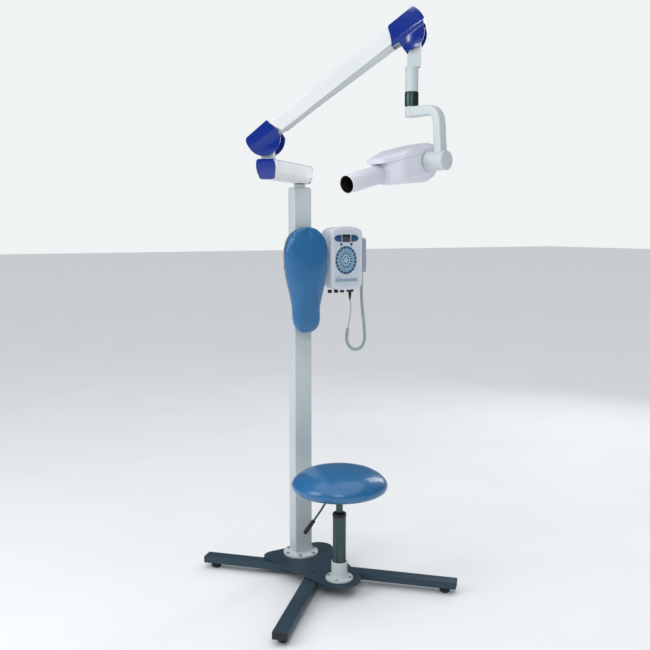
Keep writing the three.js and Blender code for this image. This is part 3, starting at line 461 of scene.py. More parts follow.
def tube(path, radius, sides=16):
    """A round rod along a path of points, with its own radius at each point if radius is a list."""
    points = [Vector(p) for p in path]
    radii = radius if isinstance(radius, list) else [radius] * len(points)
    side = None
    rings = []
    for i, p in enumerate(points):
        ahead = (points[min(i + 1, len(points) - 1)] - points[max(i - 1, 0)]).normalized()
        side = ahead.orthogonal() if side is None else side - ahead * side.dot(ahead)
        side.normalize()
        other = ahead.cross(side)
        angles = [2 * math.pi * k / sides for k in range(sides)]
        rings.append([p + (side * math.cos(a) + other * math.sin(a)) * radii[i] for a in angles])
    return loft(rings)


def smooth_path(points, steps=8):
    """A Catmull-Rom curve through the points."""
    p = [Vector(q) for q in points]
    p = [p[0] * 2 - p[1], *p, p[-1] * 2 - p[-2]]
    made = []
    for a, b, c, d in zip(p, p[1:], p[2:], p[3:]):
        for k in range(steps):
            t = k / steps
            made.append(0.5 * (b * 2 + (c - a) * t + (a * 2 - b * 5 + c * 4 - d) * t * t
                               + (b * 3 - a - c * 3 + d) * t ** 3))
    return [*made, p[-2]]


def move(bm, matrix):
    bmesh.ops.transform(bm, matrix=matrix, verts=bm.verts)
    return bm


def moved(bm, x=0, y=0, z=0):
    return move(bm, Matrix.Translation((x, y, z)))


def merged(*parts):
    """Several meshes as one, without cutting them."""
    whole = bmesh.new()
    for part in parts:
        mesh = bpy.data.meshes.new("part")
        part.to_mesh(mesh)
        part.free()
        whole.from_mesh(mesh)
        bpy.data.meshes.remove(mesh)
    return whole


def soften(bm, width, angle=25, segments=3, pick=None):
    """Rounds the sharp edges, or those of them that pick chooses."""
    edges = [e for e in bm.edges if len(e.link_faces) == 2
             and e.calc_face_angle(0) > math.radians(angle) and (pick is None or pick(e))]
    if edges:
        bmesh.ops.bevel(bm, geom=edges, offset=width, offset_type="OFFSET", segments=segments, profile=0.5,
                        affect="EDGES", clamp_overlap=True)
    return bm


def temporary(bm):
    mesh = bpy.data.meshes.new("temporary")
    bm.to_mesh(mesh)
    bm.free()
    obj = bpy.data.objects.new("temporary", mesh)
    scene.collection.objects.link(obj)
    return obj


def evaluated(obj):
    """The object's mesh with its modifiers, as a bmesh. The object goes."""
    graph = bpy.context.evaluated_depsgraph_get()
    bm = bmesh.new()
    bm.from_object(obj, graph)
    bpy.data.objects.remove(obj)
    return bm


def combine(base, *tools, operation="DIFFERENCE"):
    """Cuts the tools from the base, or joins them to it."""
    for tool in tools:
        body, other = temporary(base), temporary(tool)
        modifier = body.modifiers.new("combine", "BOOLEAN")
        modifier.object = other
        modifier.operation = operation
        modifier.solver = "EXACT"
        base = evaluated(body)
        bpy.data.objects.remove(other)
    bmesh.ops.remove_doubles(base, verts=base.verts, dist=1e-4)
    bmesh.ops.dissolve_limit(base, angle_limit=math.radians(0.3), verts=base.verts, edges=base.edges)
    return base


def piece(name, bm, body, finish, at=UNIT, stands_for=(), look=None, smooth=32):
    """A finished piece: its mesh in millimetres in the frame at, its body and its finish's slot."""
    bmesh.ops.recalc_face_normals(bm, faces=bm.faces)
    mesh = bpy.data.meshes.new(name)
    bm.to_mesh(mesh)
    bm.free()
    mesh.transform(at @ MM)
    mesh.shade_smooth()
    mesh.set_sharp_from_angle(angle=math.radians(smooth))
    mesh.materials.append(look or LOOKS[finish])
    obj = bpy.data.objects.new(name, mesh)
    scene.collection.objects.link(obj)
    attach(obj, body)
    if stands_for:
        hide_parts(*stands_for)
    return obj


def cad_mesh(node, at=Matrix.Identity(4)):
    """A CAD node's mesh in millimetres in the frame at, with its flats merged."""
    bm = bmesh.new()
    bm.from_mesh(NODES[node].data)
    move(bm, MM.inverted() @ at.inverted())
    bmesh.ops.remove_doubles(bm, verts=bm.verts, dist=1e-3)
    bmesh.ops.dissolve_limit(bm, angle_limit=math.radians(0.5), verts=bm.verts, edges=bm.edges)
    return bm


def refined(node, finish, bevel=0.6, smooth=32, segments=2):
    """A CAD node with its flats merged, its curves shaded smooth and its edges broken."""
    bm = cad_mesh(node)
    if bevel:
        soften(bm, bevel, 33, segments)
    return piece(node + "_finished", bm, NODES[node]["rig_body"], finish, Matrix.Identity(4), (node,),
                 smooth=smooth)


def curve(*controls, steps=8):
    """Points of a Bezier curve of any degree, without its first."""
    made = []
    for k in range(1, steps + 1):
        row = [Vector(c) for c in controls]
        while len(row) > 1:
            row = [a.lerp(b, k / steps) for a, b in zip(row, row[1:])]
        made.append(row[0])
    return made


def along_x(bm):
    return move(bm, Matrix.Rotation(math.pi / 2, 4, "Y"))


def facing(bm, place, away=-1):
    """A mesh drawn along Z, set at a place with its top towards -Y, or towards +Y if away is 1."""
    return move(bm, Matrix.Translation(place) @ Matrix.Rotation(-away * math.pi / 2, 4, "X"))


def relax(bm, rounds):
    for _ in range(rounds):
        bmesh.ops.smooth_vert(bm, verts=bm.verts, factor=0.5, use_axis_x=True, use_axis_y=True,
                              use_axis_z=True)


# ---------------------------------------------------------------- hand switch cord

CORD_Y = 106
CORD_LEAD = [(197, 1004.4), (197.6, 1000), (202, 978), (198, 942), (190.5, 905)]
CORD_CURL = [(190, 901), (184, 873), (186, 845), (202, 822), (225, 814), (250, 823), (263, 853),
             (262, 896), (255, 950), (249.5, 1003), (248, 1052), (248, 1105.7)]
CORD_RADIUS = 2.2
COIL_RADIUS = 4.5  # of the centreline
CORD_LENGTH = 2400
POINTS_A_TURN = 16


def lengths(points):
    """The distance along a path at each of its points."""
    far = [0.0]
    for a, b in zip(points, points[1:]):
        far.append(far[-1] + (b - a).length)
    return far


def add_cord(relief):
    """The curly cord: a straight lead out of its gland, then a helix that hangs up to the handset."""
    lead = smooth_path([(x, CORD_Y, z) for x, z in CORD_LEAD], 8)
    route = smooth_path([(x, CORD_Y, z) for x, z in CORD_CURL], 30)
    along = lengths(route)
    coiled = CORD_LENGTH - lengths(lead)[-1]
    turns = math.sqrt(coiled ** 2 - along[-1] ** 2) / (2 * math.pi * COIL_RADIUS)
    count = int(turns * POINTS_A_TURN)
    points = list(lead)
    k = 0
    for step in range(count + 1):
        distance = along[-1] * step / count
        while k < len(route) - 2 and along[k + 1] < distance:
            k += 1
        share = (distance - along[k]) / (along[k + 1] - along[k])
        ahead = (route[k + 1] - route[k]).normalized()
        side = ahead.cross(Vector((0, 1, 0)))
        opening = min(1, distance / 9, (along[-1] - distance) / 9)
        radius = COIL_RADIUS * opening * opening * (3 - 2 * opening)
        angle = 2 * math.pi * step / POINTS_A_TURN
        offset = side * math.cos(angle) + Vector((0, 1, 0)) * math.sin(angle)
        points.append(route[k].lerp(route[k + 1], share) + offset * radius)
    data = bpy.data.curves.new("handset_cord", "CURVE")
    data.dimensions = "3D"
    data.bevel_depth = CORD_RADIUS / 1000
    data.bevel_resolution = 3
    data.use_fill_caps = True
    spline = data.splines.new("POLY")
    spline.points.add(len(points) - 1)
    for target, p in zip(spline.points, points):
        target.co = (*(UNIT @ MM @ p), 1)
    data.materials.append(LOOKS["cord"])
    cord = bpy.data.objects.new("handset_cord", data)
    scene.collection.objects.link(cord)
    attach(cord, "base")
    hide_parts("cord_lead", "cord_curl")


def add_strain_relief():
    """A ribbed black boot that tapers down to the cord under its gland nut."""
    x, z = CORD_LEAD[0]
    profile = [(0, 1043), (13.2, 1043), (14, 1042.2), (14, 1035), (13.2, 1034), (7, 1034)]
    ribs = 6
    for rib in range(ribs):
        top = 1032.5 - rib * 4.4
        radius = 6.5 - rib * 0.5
        profile += [(radius, top), (radius, top - 2.6), (radius - 1.1, top - 3.0), (radius - 1.1, top - 4.0)]
    profile += [(3.4, 1005.6), (2.5, 1004.8), (0, 1004.8)]
    return piece("cord_boot", lathe(profile, 40), "base", "black_plastic", shifted(UNIT, x, CORD_Y),
                 ("cord_strain_relief",), smooth=40)


# ---------------------------------------------------------------- fasteners

def circle(radius, z, steps=36, hexagon=False):
    made = []
    for k in range(steps):
        a = 2 * math.pi * k / steps
        r = radius
        if hexagon:
            r *= math.cos(math.pi / 6) / math.cos(a % (math.pi / 3) - math.pi / 6)
        made.append(Vector((r * math.cos(a), r * math.sin(a), z)))
    return made


def socket_screw(radius=6.5, height=4.0, socket=2.9):
    """A button-head screw with a hexagon socket, standing on its seat."""
    return loft([circle(socket, height * 0.3, hexagon=True), circle(socket, height * 0.97, hexagon=True),
                 circle(radius * 0.58, height), circle(radius * 0.85, height * 0.86),
                 circle(radius * 0.98, height * 0.5), circle(radius, height * 0.2), circle(radius, 0)])


def washer(radius, hole, height):
    return lathe([(hole, 0), (radius, 0), (radius, height * 0.7), (radius - 0.4, height), (hole, height)], 36)


def bolt_circle(name, at, low, radius, count, size, finish="bright_steel"):
    parts = []
    for k in range(count):
        a = 2 * math.pi * k / count
        place = Matrix.Translation((radius * math.cos(a), radius * math.sin(a), low))
        parts.append(move(socket_screw(size, size * 0.6, size * 0.45), place))
    return piece(name, merged(*parts), "base", finish, at, smooth=35)


# ---------------------------------------------------------------- base

LEG_ENDS = {"left": (134.6, 437), "right": (-45.4, 500), "front": (-132.2, 538), "rear": (44.6, 172)}
LEG_MIDDLE_Z = 32.6
PLATE_BOLTS = [(-87, 98), (87, 98), (-52, -50), (52, -50)]


def build_base():
    for leg in ("leg_cross_beam", "leg_front_left", "leg_rear_stub"):
        refined(leg, "slate_paint", 1.1, segments=3)
    for name, (angle, reach) in LEG_ENDS.items():
        end = shifted(turned(UNIT, "Z", angle), reach, 0, LEG_MIDDLE_Z)
        rings = []
        for x, inset in ((-12, 2.9), (0.1, 2.9), (0.1, 0.4), (1.6, 0.4), (2.6, 1.2), (3.0, 2.6)):
            outline = rectangle(50 - 2 * inset, 24.7 - 2 * inset, max(0.8, 3 - inset * 0.5))
            rings.append([Vector((x, p.x, p.y)) for p in outline])
        piece("leg_cap_" + name, loft(rings), "base", "black_plastic", end)
    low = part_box("foot_left")[0].z * 1000
    for foot in ("foot_left", "foot_right", "foot_front", "foot_rear"):
        pad = [(0, 0), (9, 0), (13.5, 0.9), (16.6, 3.4), (18.5, 7), (19, 10.5), (18.6, 14), (17.4, 15.8),
               (15, 16.8), (11.5, 17.2), (11.5, 19.6), (0, 19.6)]
        grooved = pad[:5] + [(18.3, 7.4), (18.3, 8.0), (18.9, 8.4)] + pad[5:]
        piece("levelling_" + foot, moved(lathe(grooved, 48), z=low), "base", "rubber",
              local(level(middle(foot))), (foot,), smooth=40)
    refined("base_plate", "slate_paint", 1.2, segments=3)
    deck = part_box("base_plate")[1].z * 1000
    heads = []
    for x, y in PLATE_BOLTS:
        heads += [moved(washer(8.5, 4, 1.2), x, y, deck), moved(socket_screw(6, 3.6, 2.6), x, y, deck + 1.1)]
    piece("plate_screws", merged(*heads), "base", "dark_steel", UNIT, look=LOOKS["slate_paint"])


# ---------------------------------------------------------------- column and backrest

def build_column():
    refined("column_tube", "white_paint", 0.5)
    flange_low, flange_high = (c.z * 1000 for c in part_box("column_flange"))
    refined("column_flange", "white_paint", 0.8)
    bolt_circle("column_flange_screws", COLUMN, flange_high, 55, 6, 6.4)
    corner, foot = 6.5, flange_high
    outline = rectangle(70, 50, 4)
    bead = [[Vector((p.x * (1 + s * 0.085), p.y * (1 + s * 0.12), foot + h)) for p in outline]
            for s, h in ((0.0, corner), (0.22, 3.2), (0.6, 1.2), (1.0, 0.0))]
    piece("column_weld", loft(bead), "base", "white_paint", COLUMN)
    refined("column_pivot", "white_paint", 0.8)


def inflate(obj, held, cap, pressure=4.0):
    """Swells a closed mesh with Cloth from frame 1 to 20. No point moves further than cap, in metres."""
    rest = [v.co.copy() for v in obj.data.vertices]
    group = obj.vertex_groups.new(name="held")
    group.add([i for i, p in enumerate(rest) if held(p)], 1.0, "REPLACE")
    cloth = obj.modifiers.new("Cloth", "CLOTH")
    cloth.settings.vertex_group_mass = "held"
    cloth.settings.use_pressure = True
    cloth.settings.uniform_pressure_force = pressure
    cloth.settings.effector_weights.gravity = 0
    cloth.settings.tension_stiffness = 25
    cloth.settings.compression_stiffness = 25
    cloth.settings.bending_stiffness = 2.0
    cloth.collision_settings.use_self_collision = False
    cloth.point_cache.frame_start, cloth.point_cache.frame_end = 1, 20
    for step in range(1, 21):
        scene.frame_set(step)
    graph = bpy.context.evaluated_depsgraph_get()
    swollen = obj.evaluated_get(graph).data
    moved_to = [v.co.copy() for v in swollen.vertices]
    scene.frame_set(1)
    obj.modifiers.remove(cloth)
    for vertex, a, b in zip(obj.data.vertices, rest, moved_to):
        change = b - a
        vertex.co = a + change * min(1, cap / max(change.length, 1e-9))


def cushion(name, node, body, shrink, held, cap, shape=None):
    """An upholstered pad: the CAD solid a little smaller, remeshed, swollen by Cloth and subdivided once."""
    low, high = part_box(node)
    centre = (low + high) / 2
    bm = bmesh.new()
    bm.from_mesh(NODES[node].data)
    for v in bm.verts:
        v.co = centre + Vector(a * b for a, b in zip(v.co - centre, shrink))
    obj = temporary(bm)
    remesh = obj.modifiers.new("remesh", "REMESH")
    remesh.mode = "VOXEL"
    remesh.voxel_size = 0.005
    bm = evaluated(obj)
    relax(bm, 6)
    obj = temporary(bm)
    inflate(obj, held, cap)
    bm = bmesh.new()
    bm.from_mesh(obj.data)
    bpy.data.objects.remove(obj)
    relax(bm, 3)
    obj = temporary(bm)
    obj.modifiers.new("subdivision", "SUBSURF").levels = 1
    bm = evaluated(obj)
    if shape:
        for v in bm.verts:
            v.co = shape(v.co)
    move(bm, MM.inverted())
    made = piece(name, bm, body, "blue_vinyl", Matrix.Identity(4), (node,), smooth=60)
    return made


def build_backrest():
    refined("backrest_board", "board", 1.5)
    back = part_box("backrest_pad")[1].y
    cushion("backrest_cushion", "backrest_pad", "base", (0.965, 0.93, 0.985),
            lambda p: p.y > back - 0.006, 0.012)
    low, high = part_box("backrest_board")
    x = (low.x + high.x) * 500
    heads = [facing(socket_screw(5.5, 3.2, 2.4), (x, 0, z))
             for z in (low.z * 1000 + 70, high.z * 1000 - 110)]
    column_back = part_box("column_tube")[1].y * 1000
    for head in heads:
        move(head, Matrix.Translation((0, column_back, 0)) @ Matrix.Scale(-1, 4, (0, 1, 0)))
    piece("backrest_screws", merged(*heads), "base", "bright_steel", Matrix.Identity(4))


# ---------------------------------------------------------------- control box

BOX = {"width": 137, "low": 1052.5, "high": 1265, "arch": 13, "front": 74, "seam": 94, "corner": 18}
BOX_PLACE = local(Vector((middle("control_rear_housing").x, UNIT.translation.y, 0)))
DIAL = (-5, 1153)
DIAL_RADIUS = 46
DIAL_TALL = 1.15  # the dial is an ellipse, taller than wide
DISPLAY = {"x": -4, "z": 1233, "half_width": 52.5, "half_height": 15, "split": 20}


def box_outline(inset, steps=8):
    w = BOX["width"] / 2 - inset
    low, high, r, arch = BOX["low"] + inset, BOX["high"] - inset, BOX["corner"], BOX["arch"]
    points = [Vector((-w, low + r))]
    points += curve(points[-1], (-w, low), (-w + r, low - arch * 0.4), steps=steps)
    points += curve(points[-1], (0, low - arch * 1.1), (w - r, low - arch * 0.4), steps=2 * steps)
    points += curve(points[-1], (w, low), (w, low + r), steps=steps)
    points.append(Vector((w, high - r)))
    points += curve(points[-1], (w, high), (w - r, high + arch * 0.4), steps=steps)
    points += curve(points[-1], (0, high + arch * 1.4), (-w + r, high + arch * 0.4), steps=2 * steps)
    points += curve(points[-1], (-w, high), (-w, high - r), steps=steps)
    return points


def oval_part(side, inset):
    """One end of the display's oval band, left (-1) or right (1)."""
    h = (DISPLAY["half_height"] - inset) * 0.93
    near, wide, z = DISPLAY["split"] + inset, DISPLAY["half_width"], DISPLAY["z"]
    points = [(near, z - h)]
    points += curve(points[-1], (wide - 3, z - h), (wide - inset, z), steps=9)
    points += curve(points[-1], (wide - 3, z + h), (near, z + h), steps=9)
    return [Vector((DISPLAY["x"] + side * p[0], p[1])) for p in points]


def sector(inner, outer, start, end, steps=4):
    angles = [start + (end - start) * k / steps for k in range(steps + 1)]
    outline = [(outer * math.cos(a), outer * math.sin(a)) for a in angles]
    return outline + [(inner * math.cos(a), inner * math.sin(a)) for a in reversed(angles)]


def keys(inner, outer, count, gap, low, high, offset=0.5):
    """A ring of separate keys with straight gaps, about the dial's middle, facing -Y."""
    parts = []
    for k in range(count):
        a = 2 * math.pi * (k + offset) / count
        half = math.pi / count
        trim = gap / 2
        ring = sector(inner, outer, a - half + trim / inner, a + half - trim / inner)
        ring = [(DIAL[0] + x, DIAL[1] + z * DIAL_TALL) for x, z in ring]
        parts.append(soften(slab(ring, low, high), 0.25, 40, 2))
    return merged(*parts)


def build_control_box():
    refined("control_rear_housing", "white_plastic", 1.2)
    front = BOX["front"]
    levels = [(0, BOX["seam"]), (0, front + 8), (0.7, front + 4.6), (2.4, front + 2.0), (5.0, front + 0.5),
              (8, front), (10.5, front), (11.1, front + 0.7), (12, front + 0.8)]
    shell = loft([[Vector((p.x, y, p.y)) for p in box_outline(inset)] for inset, y in levels])
    piece("control_front", shell, "base", "white_plastic", BOX_PLACE, ("control_front_cover",))
    face = front + 0.8
    film = slab(box_outline(13.5), face - 0.35, face + 0.5)
    piece("control_panel_film", soften(film, 0.15, 40, 1), "base", "white_plastic", BOX_PLACE, look=PANEL)
    face -= 0.35

    for side, name in ((-1, "left"), (1, "right")):
        button = slab(rounded(oval_part(side, 0.8), 1.2, 2), front - 2.5, front + 5)
        piece("exposure_mode_" + name, soften(button, 0.7, 50, 3), "button_" + name, "keypad", BOX_PLACE,
              ("control_button_" + name,))
    d = DISPLAY
    oval = [Vector((p.x, p.y)) for p in oval_part(1, -1.6)] + [Vector((p.x, p.y)) for p in
                                                             reversed(oval_part(-1, -1.6))]
    bezel = slab(rounded(oval, 2, 3), face - 1.0, face + 0.4)
    piece("display_bezel", soften(bezel, 0.5, 40, 2), "base", "white_plastic", BOX_PLACE)
    window = [Vector((p.x + d["x"], p.y + d["z"])) for p in
              rectangle(2 * d["split"] - 5, 2 * d["half_height"] - 1.5, 2.5)]
    piece("display_window", soften(slab(window, face - 1.6, face), 0.35, 40, 2), "base", "display", BOX_PLACE,
          ("control_display",))

    disc = [(DIAL_RADIUS * math.cos(2 * math.pi * k / 96) + DIAL[0],
             DIAL_RADIUS * DIAL_TALL * math.sin(2 * math.pi * k / 96) + DIAL[1]) for k in range(96)]
    dial = soften(slab(disc, face - 0.9, face + 0.3), 0.3, 40, 2)
    piece("keypad_membrane", dial, "base", "keypad", BOX_PLACE, ("control_keypad",), look=MEMBRANE)
    key_top = face - 0.5
    dark = merged(keys(37, 45, 20, 2.0, face - 1.7, key_top),
                  keys(18.5, 25.5, 16, 2.6, face - 1.6, key_top),
                  keys(8.5, 13.5, 9, 2.4, face - 1.6, key_top))
    piece("keypad_keys", dark, "base", "keypad", BOX_PLACE)
    pale = merged(keys(27, 35.6, 20, 1.8, face - 1.4, key_top))
    piece("keypad_scale", pale, "base", "keypad", BOX_PLACE, look=PALE_KEY)

    lamps = []
    for x in (-19.5, 23):
        lamp = lathe([(0, 1.1), (2.6, 1.1), (3.1, 0.8), (3.3, 0), (4.6, 0), (4.6, 0.5), (5.2, 0.5),
                      (5.2, -0.4), (0, -0.4)], 32)
        lamps.append(facing(lamp, (DIAL[0] + x, face, DIAL[1] + 58)))
    piece("indicator_lamps", merged(*lamps), "base", "keypad", BOX_PLACE)
    labels = [slab([(p.x + x, p.y + z) for p in rectangle(w, h, 1)], face - 0.25, face + 0.1)
              for x, z, w, h in ((-2.7, 1080, 94, 12), (-37, 1091.5, 18, 3))]
    piece("plain_label", merged(*labels), "base", "white_plastic", BOX_PLACE, look=LABEL)
    refined("control_bracket", "white_paint", 0.8)
    refined("control_board", "circuit_board", 0.2)
    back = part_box("control_rear_housing")[1].y * 1000
    centre = BOX_PLACE.translation.x * 1000
    screws = [facing(socket_screw(4, 2.4, 1.8), (x, back, z), away=1)
              for x in (centre - 55, centre + 55)
              for z in (BOX["low"] + 22, BOX["high"] - 22)]
    piece("control_box_screws", merged(*screws), "base", "bright_steel", Matrix.Identity(4))


def build_fuses_and_handset():
    for k in (1, 2, 3):
        node = f"fuse_cap_{k}"
        low, high = (c.z * 1000 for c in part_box(node))
        rings = [[Vector((r * (1 - 0.07 * (i % 2) * grip) * math.cos(math.pi * i / 24),
                          r * (1 - 0.07 * (i % 2) * grip) * math.sin(math.pi * i / 24), low + z))
                  for i in range(48)]
                 for r, z, grip in ((3.0, 1.6, 0), (3.0, 0.2, 0), (6.6, 0, 0), (7.6, 1.0, 1), (7.9, 8.0, 1),
                                    (7.9, 8.4, 0), (8.0, high - low, 0))]
        piece(f"fuse_holder_{k}", loft(rings), "base", "black_plastic", local(level(middle(node))), (node,))
    body = cad_mesh("handset", UNIT)
    # the handset's darker plastic is painted shade
    piece("handset_body", soften(body, 2.2, 33, 4), "base", "white_plastic", UNIT, ("handset",), look=SHADED_HANDSET)
    low, high = (c.z * 1000 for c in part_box("exposure_button"))
    cap = [(0, low), (5.5, low), (5.5, high - 1.6), (5.0, high - 0.6), (3.6, high), (1.8, high - 0.5),
           (0, high - 0.7)]
    piece("exposure_key_cap", lathe(cap, 40), "exposure_button", "keypad",
          local(level(middle("exposure_button"))), ("exposure_button",), smooth=45)


# ---------------------------------------------------------------- stool

def build_stool():
    low, high = (c.z * 1000 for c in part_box("stool_socket"))
    bore, sleeve, flange = 23.3, 28, 48
    socket = [(bore, low), (flange - 0.8, low), (flange, low + 0.8), (flange, low + 6.6),
              (flange - 1.4, low + 8), (35, low + 8), (31, low + 9.2), (sleeve + 0.6, low + 12),
              (sleeve, low + 16), (sleeve, high - 1.2), (sleeve - 1, high), (bore + 0.7, high),
              (bore, high - 0.7), (bore, low)]
    piece("stool_sleeve", lathe(socket, 96), "base", "white_paint", STOOL, ("stool_socket",), smooth=28)
    bolt_circle("stool_flange_screws", turned(STOOL, "Z", 45), low + 7.9, 39, 4, 5.2)

    low, high = (c.z * 1000 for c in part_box("stool_outer_tube"))
    tube_profile = [(20.5, low), (23, low), (23, high - 0.6), (22.4, high), (20.5, high), (20.5, low)]
    piece("stool_tube", lathe(tube_profile, 96), "base", "dark_steel", STOOL, ("stool_outer_tube",))
    low, high = (c.z * 1000 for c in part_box("stool_tube_collar"))
    collar = [(12.4, low), (24, low), (24, high - 5), (23.4, high - 3), (21, high - 0.8), (18, high),
              (14.2, high), (12.4, high - 1.6), (12.4, low)]
    piece("stool_collar", lathe(collar, 96), "base", "black_plastic", STOOL, ("stool_tube_collar",),
          smooth=40)
    low, high = (c.z * 1000 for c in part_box("stool_gas_rod"))
    rod = [(0, low), (11.4, low), (12, low + 0.6), (12, high - 11), (13.6, high - 10.4), (15.5, high - 9.6),
           (15.5, high - 1), (14.6, high), (0, high)]
    piece("stool_rod", lathe(rod, 72), "stool_rod", "dark_steel", STOOL, ("stool_gas_rod",))
    refined("seat_mechanism", "dark_steel", 1.2)
    refined("seat_board", "board", 1.5)
    cushion_low, cushion_high = (c.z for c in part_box("seat_cushion"))
    axis = STOOL.translation

    def gathered(p):
        """Small pleats where the cover is drawn in under the seat."""
        out = Vector((p.x - axis.x, p.y - axis.y))
        if out.length < 0.13 or p.z > cushion_low + 0.018:
            return p
        share = 1 - (p.z - cushion_low) / 0.018
        fold = math.sin(math.atan2(out.y, out.x) * 56) * 0.0007 * max(0, share)
        return p + Vector((*(out.normalized() * fold), fold * 0.5))

    cushion("seat_upholstery", "seat_cushion", "seat", (0.972, 0.972, 0.94),
            lambda p: p.z < cushion_low + 0.006, 0.012, gathered)
    build_lever()


def build_lever():
    at = turned(STOOL, "Z", 150)
    path = smooth_path([(35, 0, 338), (48, 0, 323), (66, 0, 294), (87, 0, 263)], 8)
    piece("lever_stem", tube(path, 3.6, 20), "lever", "dark_steel", at, ("lever_rod",), smooth=50)
    grip = [(0, -1.5), (5.2, -1.5), (6.6, -0.4), (7.2, 1.5), (7.4, 5.5), (6.4, 7.2), (6.6, 9), (7.4, 18),
            (7.9, 30), (8, 42), (7.6, 50), (6.4, 54.6), (4.2, 56.8), (0, 57.6)]
    place = shifted(at, 89, 0, 259.5) @ Matrix.Rotation(math.radians(145), 4, "Y")
    piece("lever_handle", lathe(grip, 48), "lever", "black_plastic", place, ("lever_grip",), smooth=50)


# ---------------------------------------------------------------- extension arm

def build_extension():
    refined("extension_tube", "white_aluminium", 0)
    for name, outward in (("front", 1), ("rear", -1)):
        node = f"extension_{name}_cap"
        bm = cad_mesh(node, EXTENSION)
        lead = max(v.co.x * outward for v in bm.verts)

        def outer(e, bm=bm, outward=outward, lead=lead):
            mid = (e.verts[0].co + e.verts[1].co) / 2
            face_x = lead - 14 * (1 - mid.z / 65)
            return mid.x * outward > face_x - 2.5
        soften(bm, 5.5, 30, 5, outer)
        piece(f"arm_end_{name}", bm, "extension", "royal_blue_plastic", EXTENSION, (node,), smooth=40)
    refined("extension_bush", "black_plastic", 0.2)


# ---------------------------------------------------------------- spring arm

HOOD_HALF = 32.5
CHEEK_HALF = 28.6
CREASE = 2.0  # height over the pivot line where a knuckle starts to draw in
CHEEK_TOP = -11.0
POCKET_HALF = 25.2


def joint_x(z, along, slant):
    """Where the joint line between a knuckle and the arm's cover lies at a height."""
    if z > 40:
        return along - slant * 0.45 * (z - 40) / 20
    if z < -20:
        return along + slant * (1 + 0.2 * (-20 - z) / 70)
    t = (40 - z) / 60
    return along + slant * (0.5 * t * (1 - t) + t * t)


def knuckle(name, node, at, outline_top, outline_skirt, disc_angles, radius, joint, pockets):
    """A knuckle cover in the arm's frame, with the pivot at the frame's origin."""
    upper = slab(outline_top, -HOOD_HALF, HOOD_HALF)
    crest = max(p[1] for p in outline_top)
    soften(upper, 12, 60, 7, lambda e: abs((e.verts[0].co - e.verts[1].co).y) < 1e-4
           and min(v.co.z for v in e.verts) > crest - 14)
    (xa, xb), (xc, xd) = outline_skirt
    skirt = loft([[Vector((xa, -HOOD_HALF, CREASE)), Vector((xb, -HOOD_HALF, CREASE)),
                   Vector((xb, HOOD_HALF, CREASE)), Vector((xa, HOOD_HALF, CREASE))],
                  [Vector((xc, -CHEEK_HALF, CHEEK_TOP)), Vector((xd, -CHEEK_HALF, CHEEK_TOP)),
                   Vector((xd, CHEEK_HALF, CHEEK_TOP)), Vector((xc, CHEEK_HALF, CHEEK_TOP))]])
    start, end = disc_angles
    arc = [(radius * math.cos(math.radians(start + (end - start) * k / 40)),
            radius * math.sin(math.radians(start + (end - start) * k / 40))) for k in range(41)]
    cheek = slab([(arc[0][0], CREASE + 6), *arc, (arc[-1][0], CREASE + 6)][::-1], -CHEEK_HALF, CHEEK_HALF)
    soften(cheek, 2.0, 60, 4, lambda e: abs((e.verts[0].co - e.verts[1].co).y) < 1e-4
           and max(v.co.z for v in e.verts) < CHEEK_TOP)
    body = combine(upper, skirt, cheek, operation="UNION")
    body = combine(body, *pockets, joint)
    return piece(name, body, "spring_arm", "royal_blue_plastic", at, (node,), smooth=30)


def block(x0, x1, half, z0, z1):
    return slab([(x0, z0), (x1, z0), (x1, z1), (x0, z1)], -half, half)


def joint_tool(along, slant, towards):
    """What lies beyond a joint line, for cutting a knuckle off at it."""
    heights = (80, 60, 50, *range(40, -21, -6), -50, -90)
    line = [(joint_x(z, along, slant), z) for z in heights]
    far = along + towards * 200
    return slab([(far, 80), *line, (far, -90)], -60, 60)


def build_spring_arm():
    refined("scissor_cover", "white_aluminium", 0)
    refined("scissor_channel", "white_paint", 0.3)
    for node in ("lower_pivot_pin", "upper_pivot_pin"):
        refined(node, "bright_steel", 0.5)
    refined("parallel_rod", "dark_steel", 0.5)
    refined("scissor_base", "white_paint", 1.0, segments=3)

    low_top = [(90, CREASE), (90, 44.5), (-46, 34), *curve((-46, 34), (-56, 28), (-56.5, 12), steps=8),
               (-57, CREASE)]
    knuckle("lower_knuckle", "knuckle_cover_lower", ARM, low_top, ((-56.8, 70), (-55.7, 74)), (180, 330), 57,
            joint_tool(41, 21, 1),
            [block(-50, 100, POCKET_HALF, -160, 33), block(22, 110, POCKET_HALF, -20, 36)])
    high_at = shifted(ARM, ARM_LENGTH)
    high_top = [(-90, CREASE), (-90, 46.5), (58, 52), *curve((58, 52), (71, 28), (68, 4), steps=8),
                (67.5, CREASE)]
    knuckle("upper_knuckle", "knuckle_cover_upper", high_at, high_top[::-1], ((-80, 67), (-80, 57)),
            (-128, -6), 56.5, joint_tool(-40, -26, -1), [block(-140, 60, POCKET_HALF, -160, 38)])

    wire, coil, pitch = 1.6, 7.4, 4.6
    start, end = 90, 420
    turns = int((end - start - 12) / pitch)
    path = [(start + 6 + pitch * k / 10, -6 + coil * math.cos(2 * math.pi * k / 10),
             4 + coil * math.sin(2 * math.pi * k / 10)) for k in range(turns * 10)]
    piece("balance_spring_coil", tube(path, wire, 6), "spring_arm", "dark_steel", ARM,
          ("balance_spring",), smooth=60)


# ---------------------------------------------------------------- head bracket and yoke

YOKE_TOP, YOKE_HEIGHT, YOKE_DEPTH = 1647, 31, 34
YOKE_LOW = YOKE_TOP - YOKE_HEIGHT
YOKE_REACH, YOKE_BEND, YOKE_LEG = 127, 62, 26
TILT_Z = pivot("head_tilt").z * 1000
KNUCKLE = (29.8, 70, 139.6)  # radius, inner and outer face


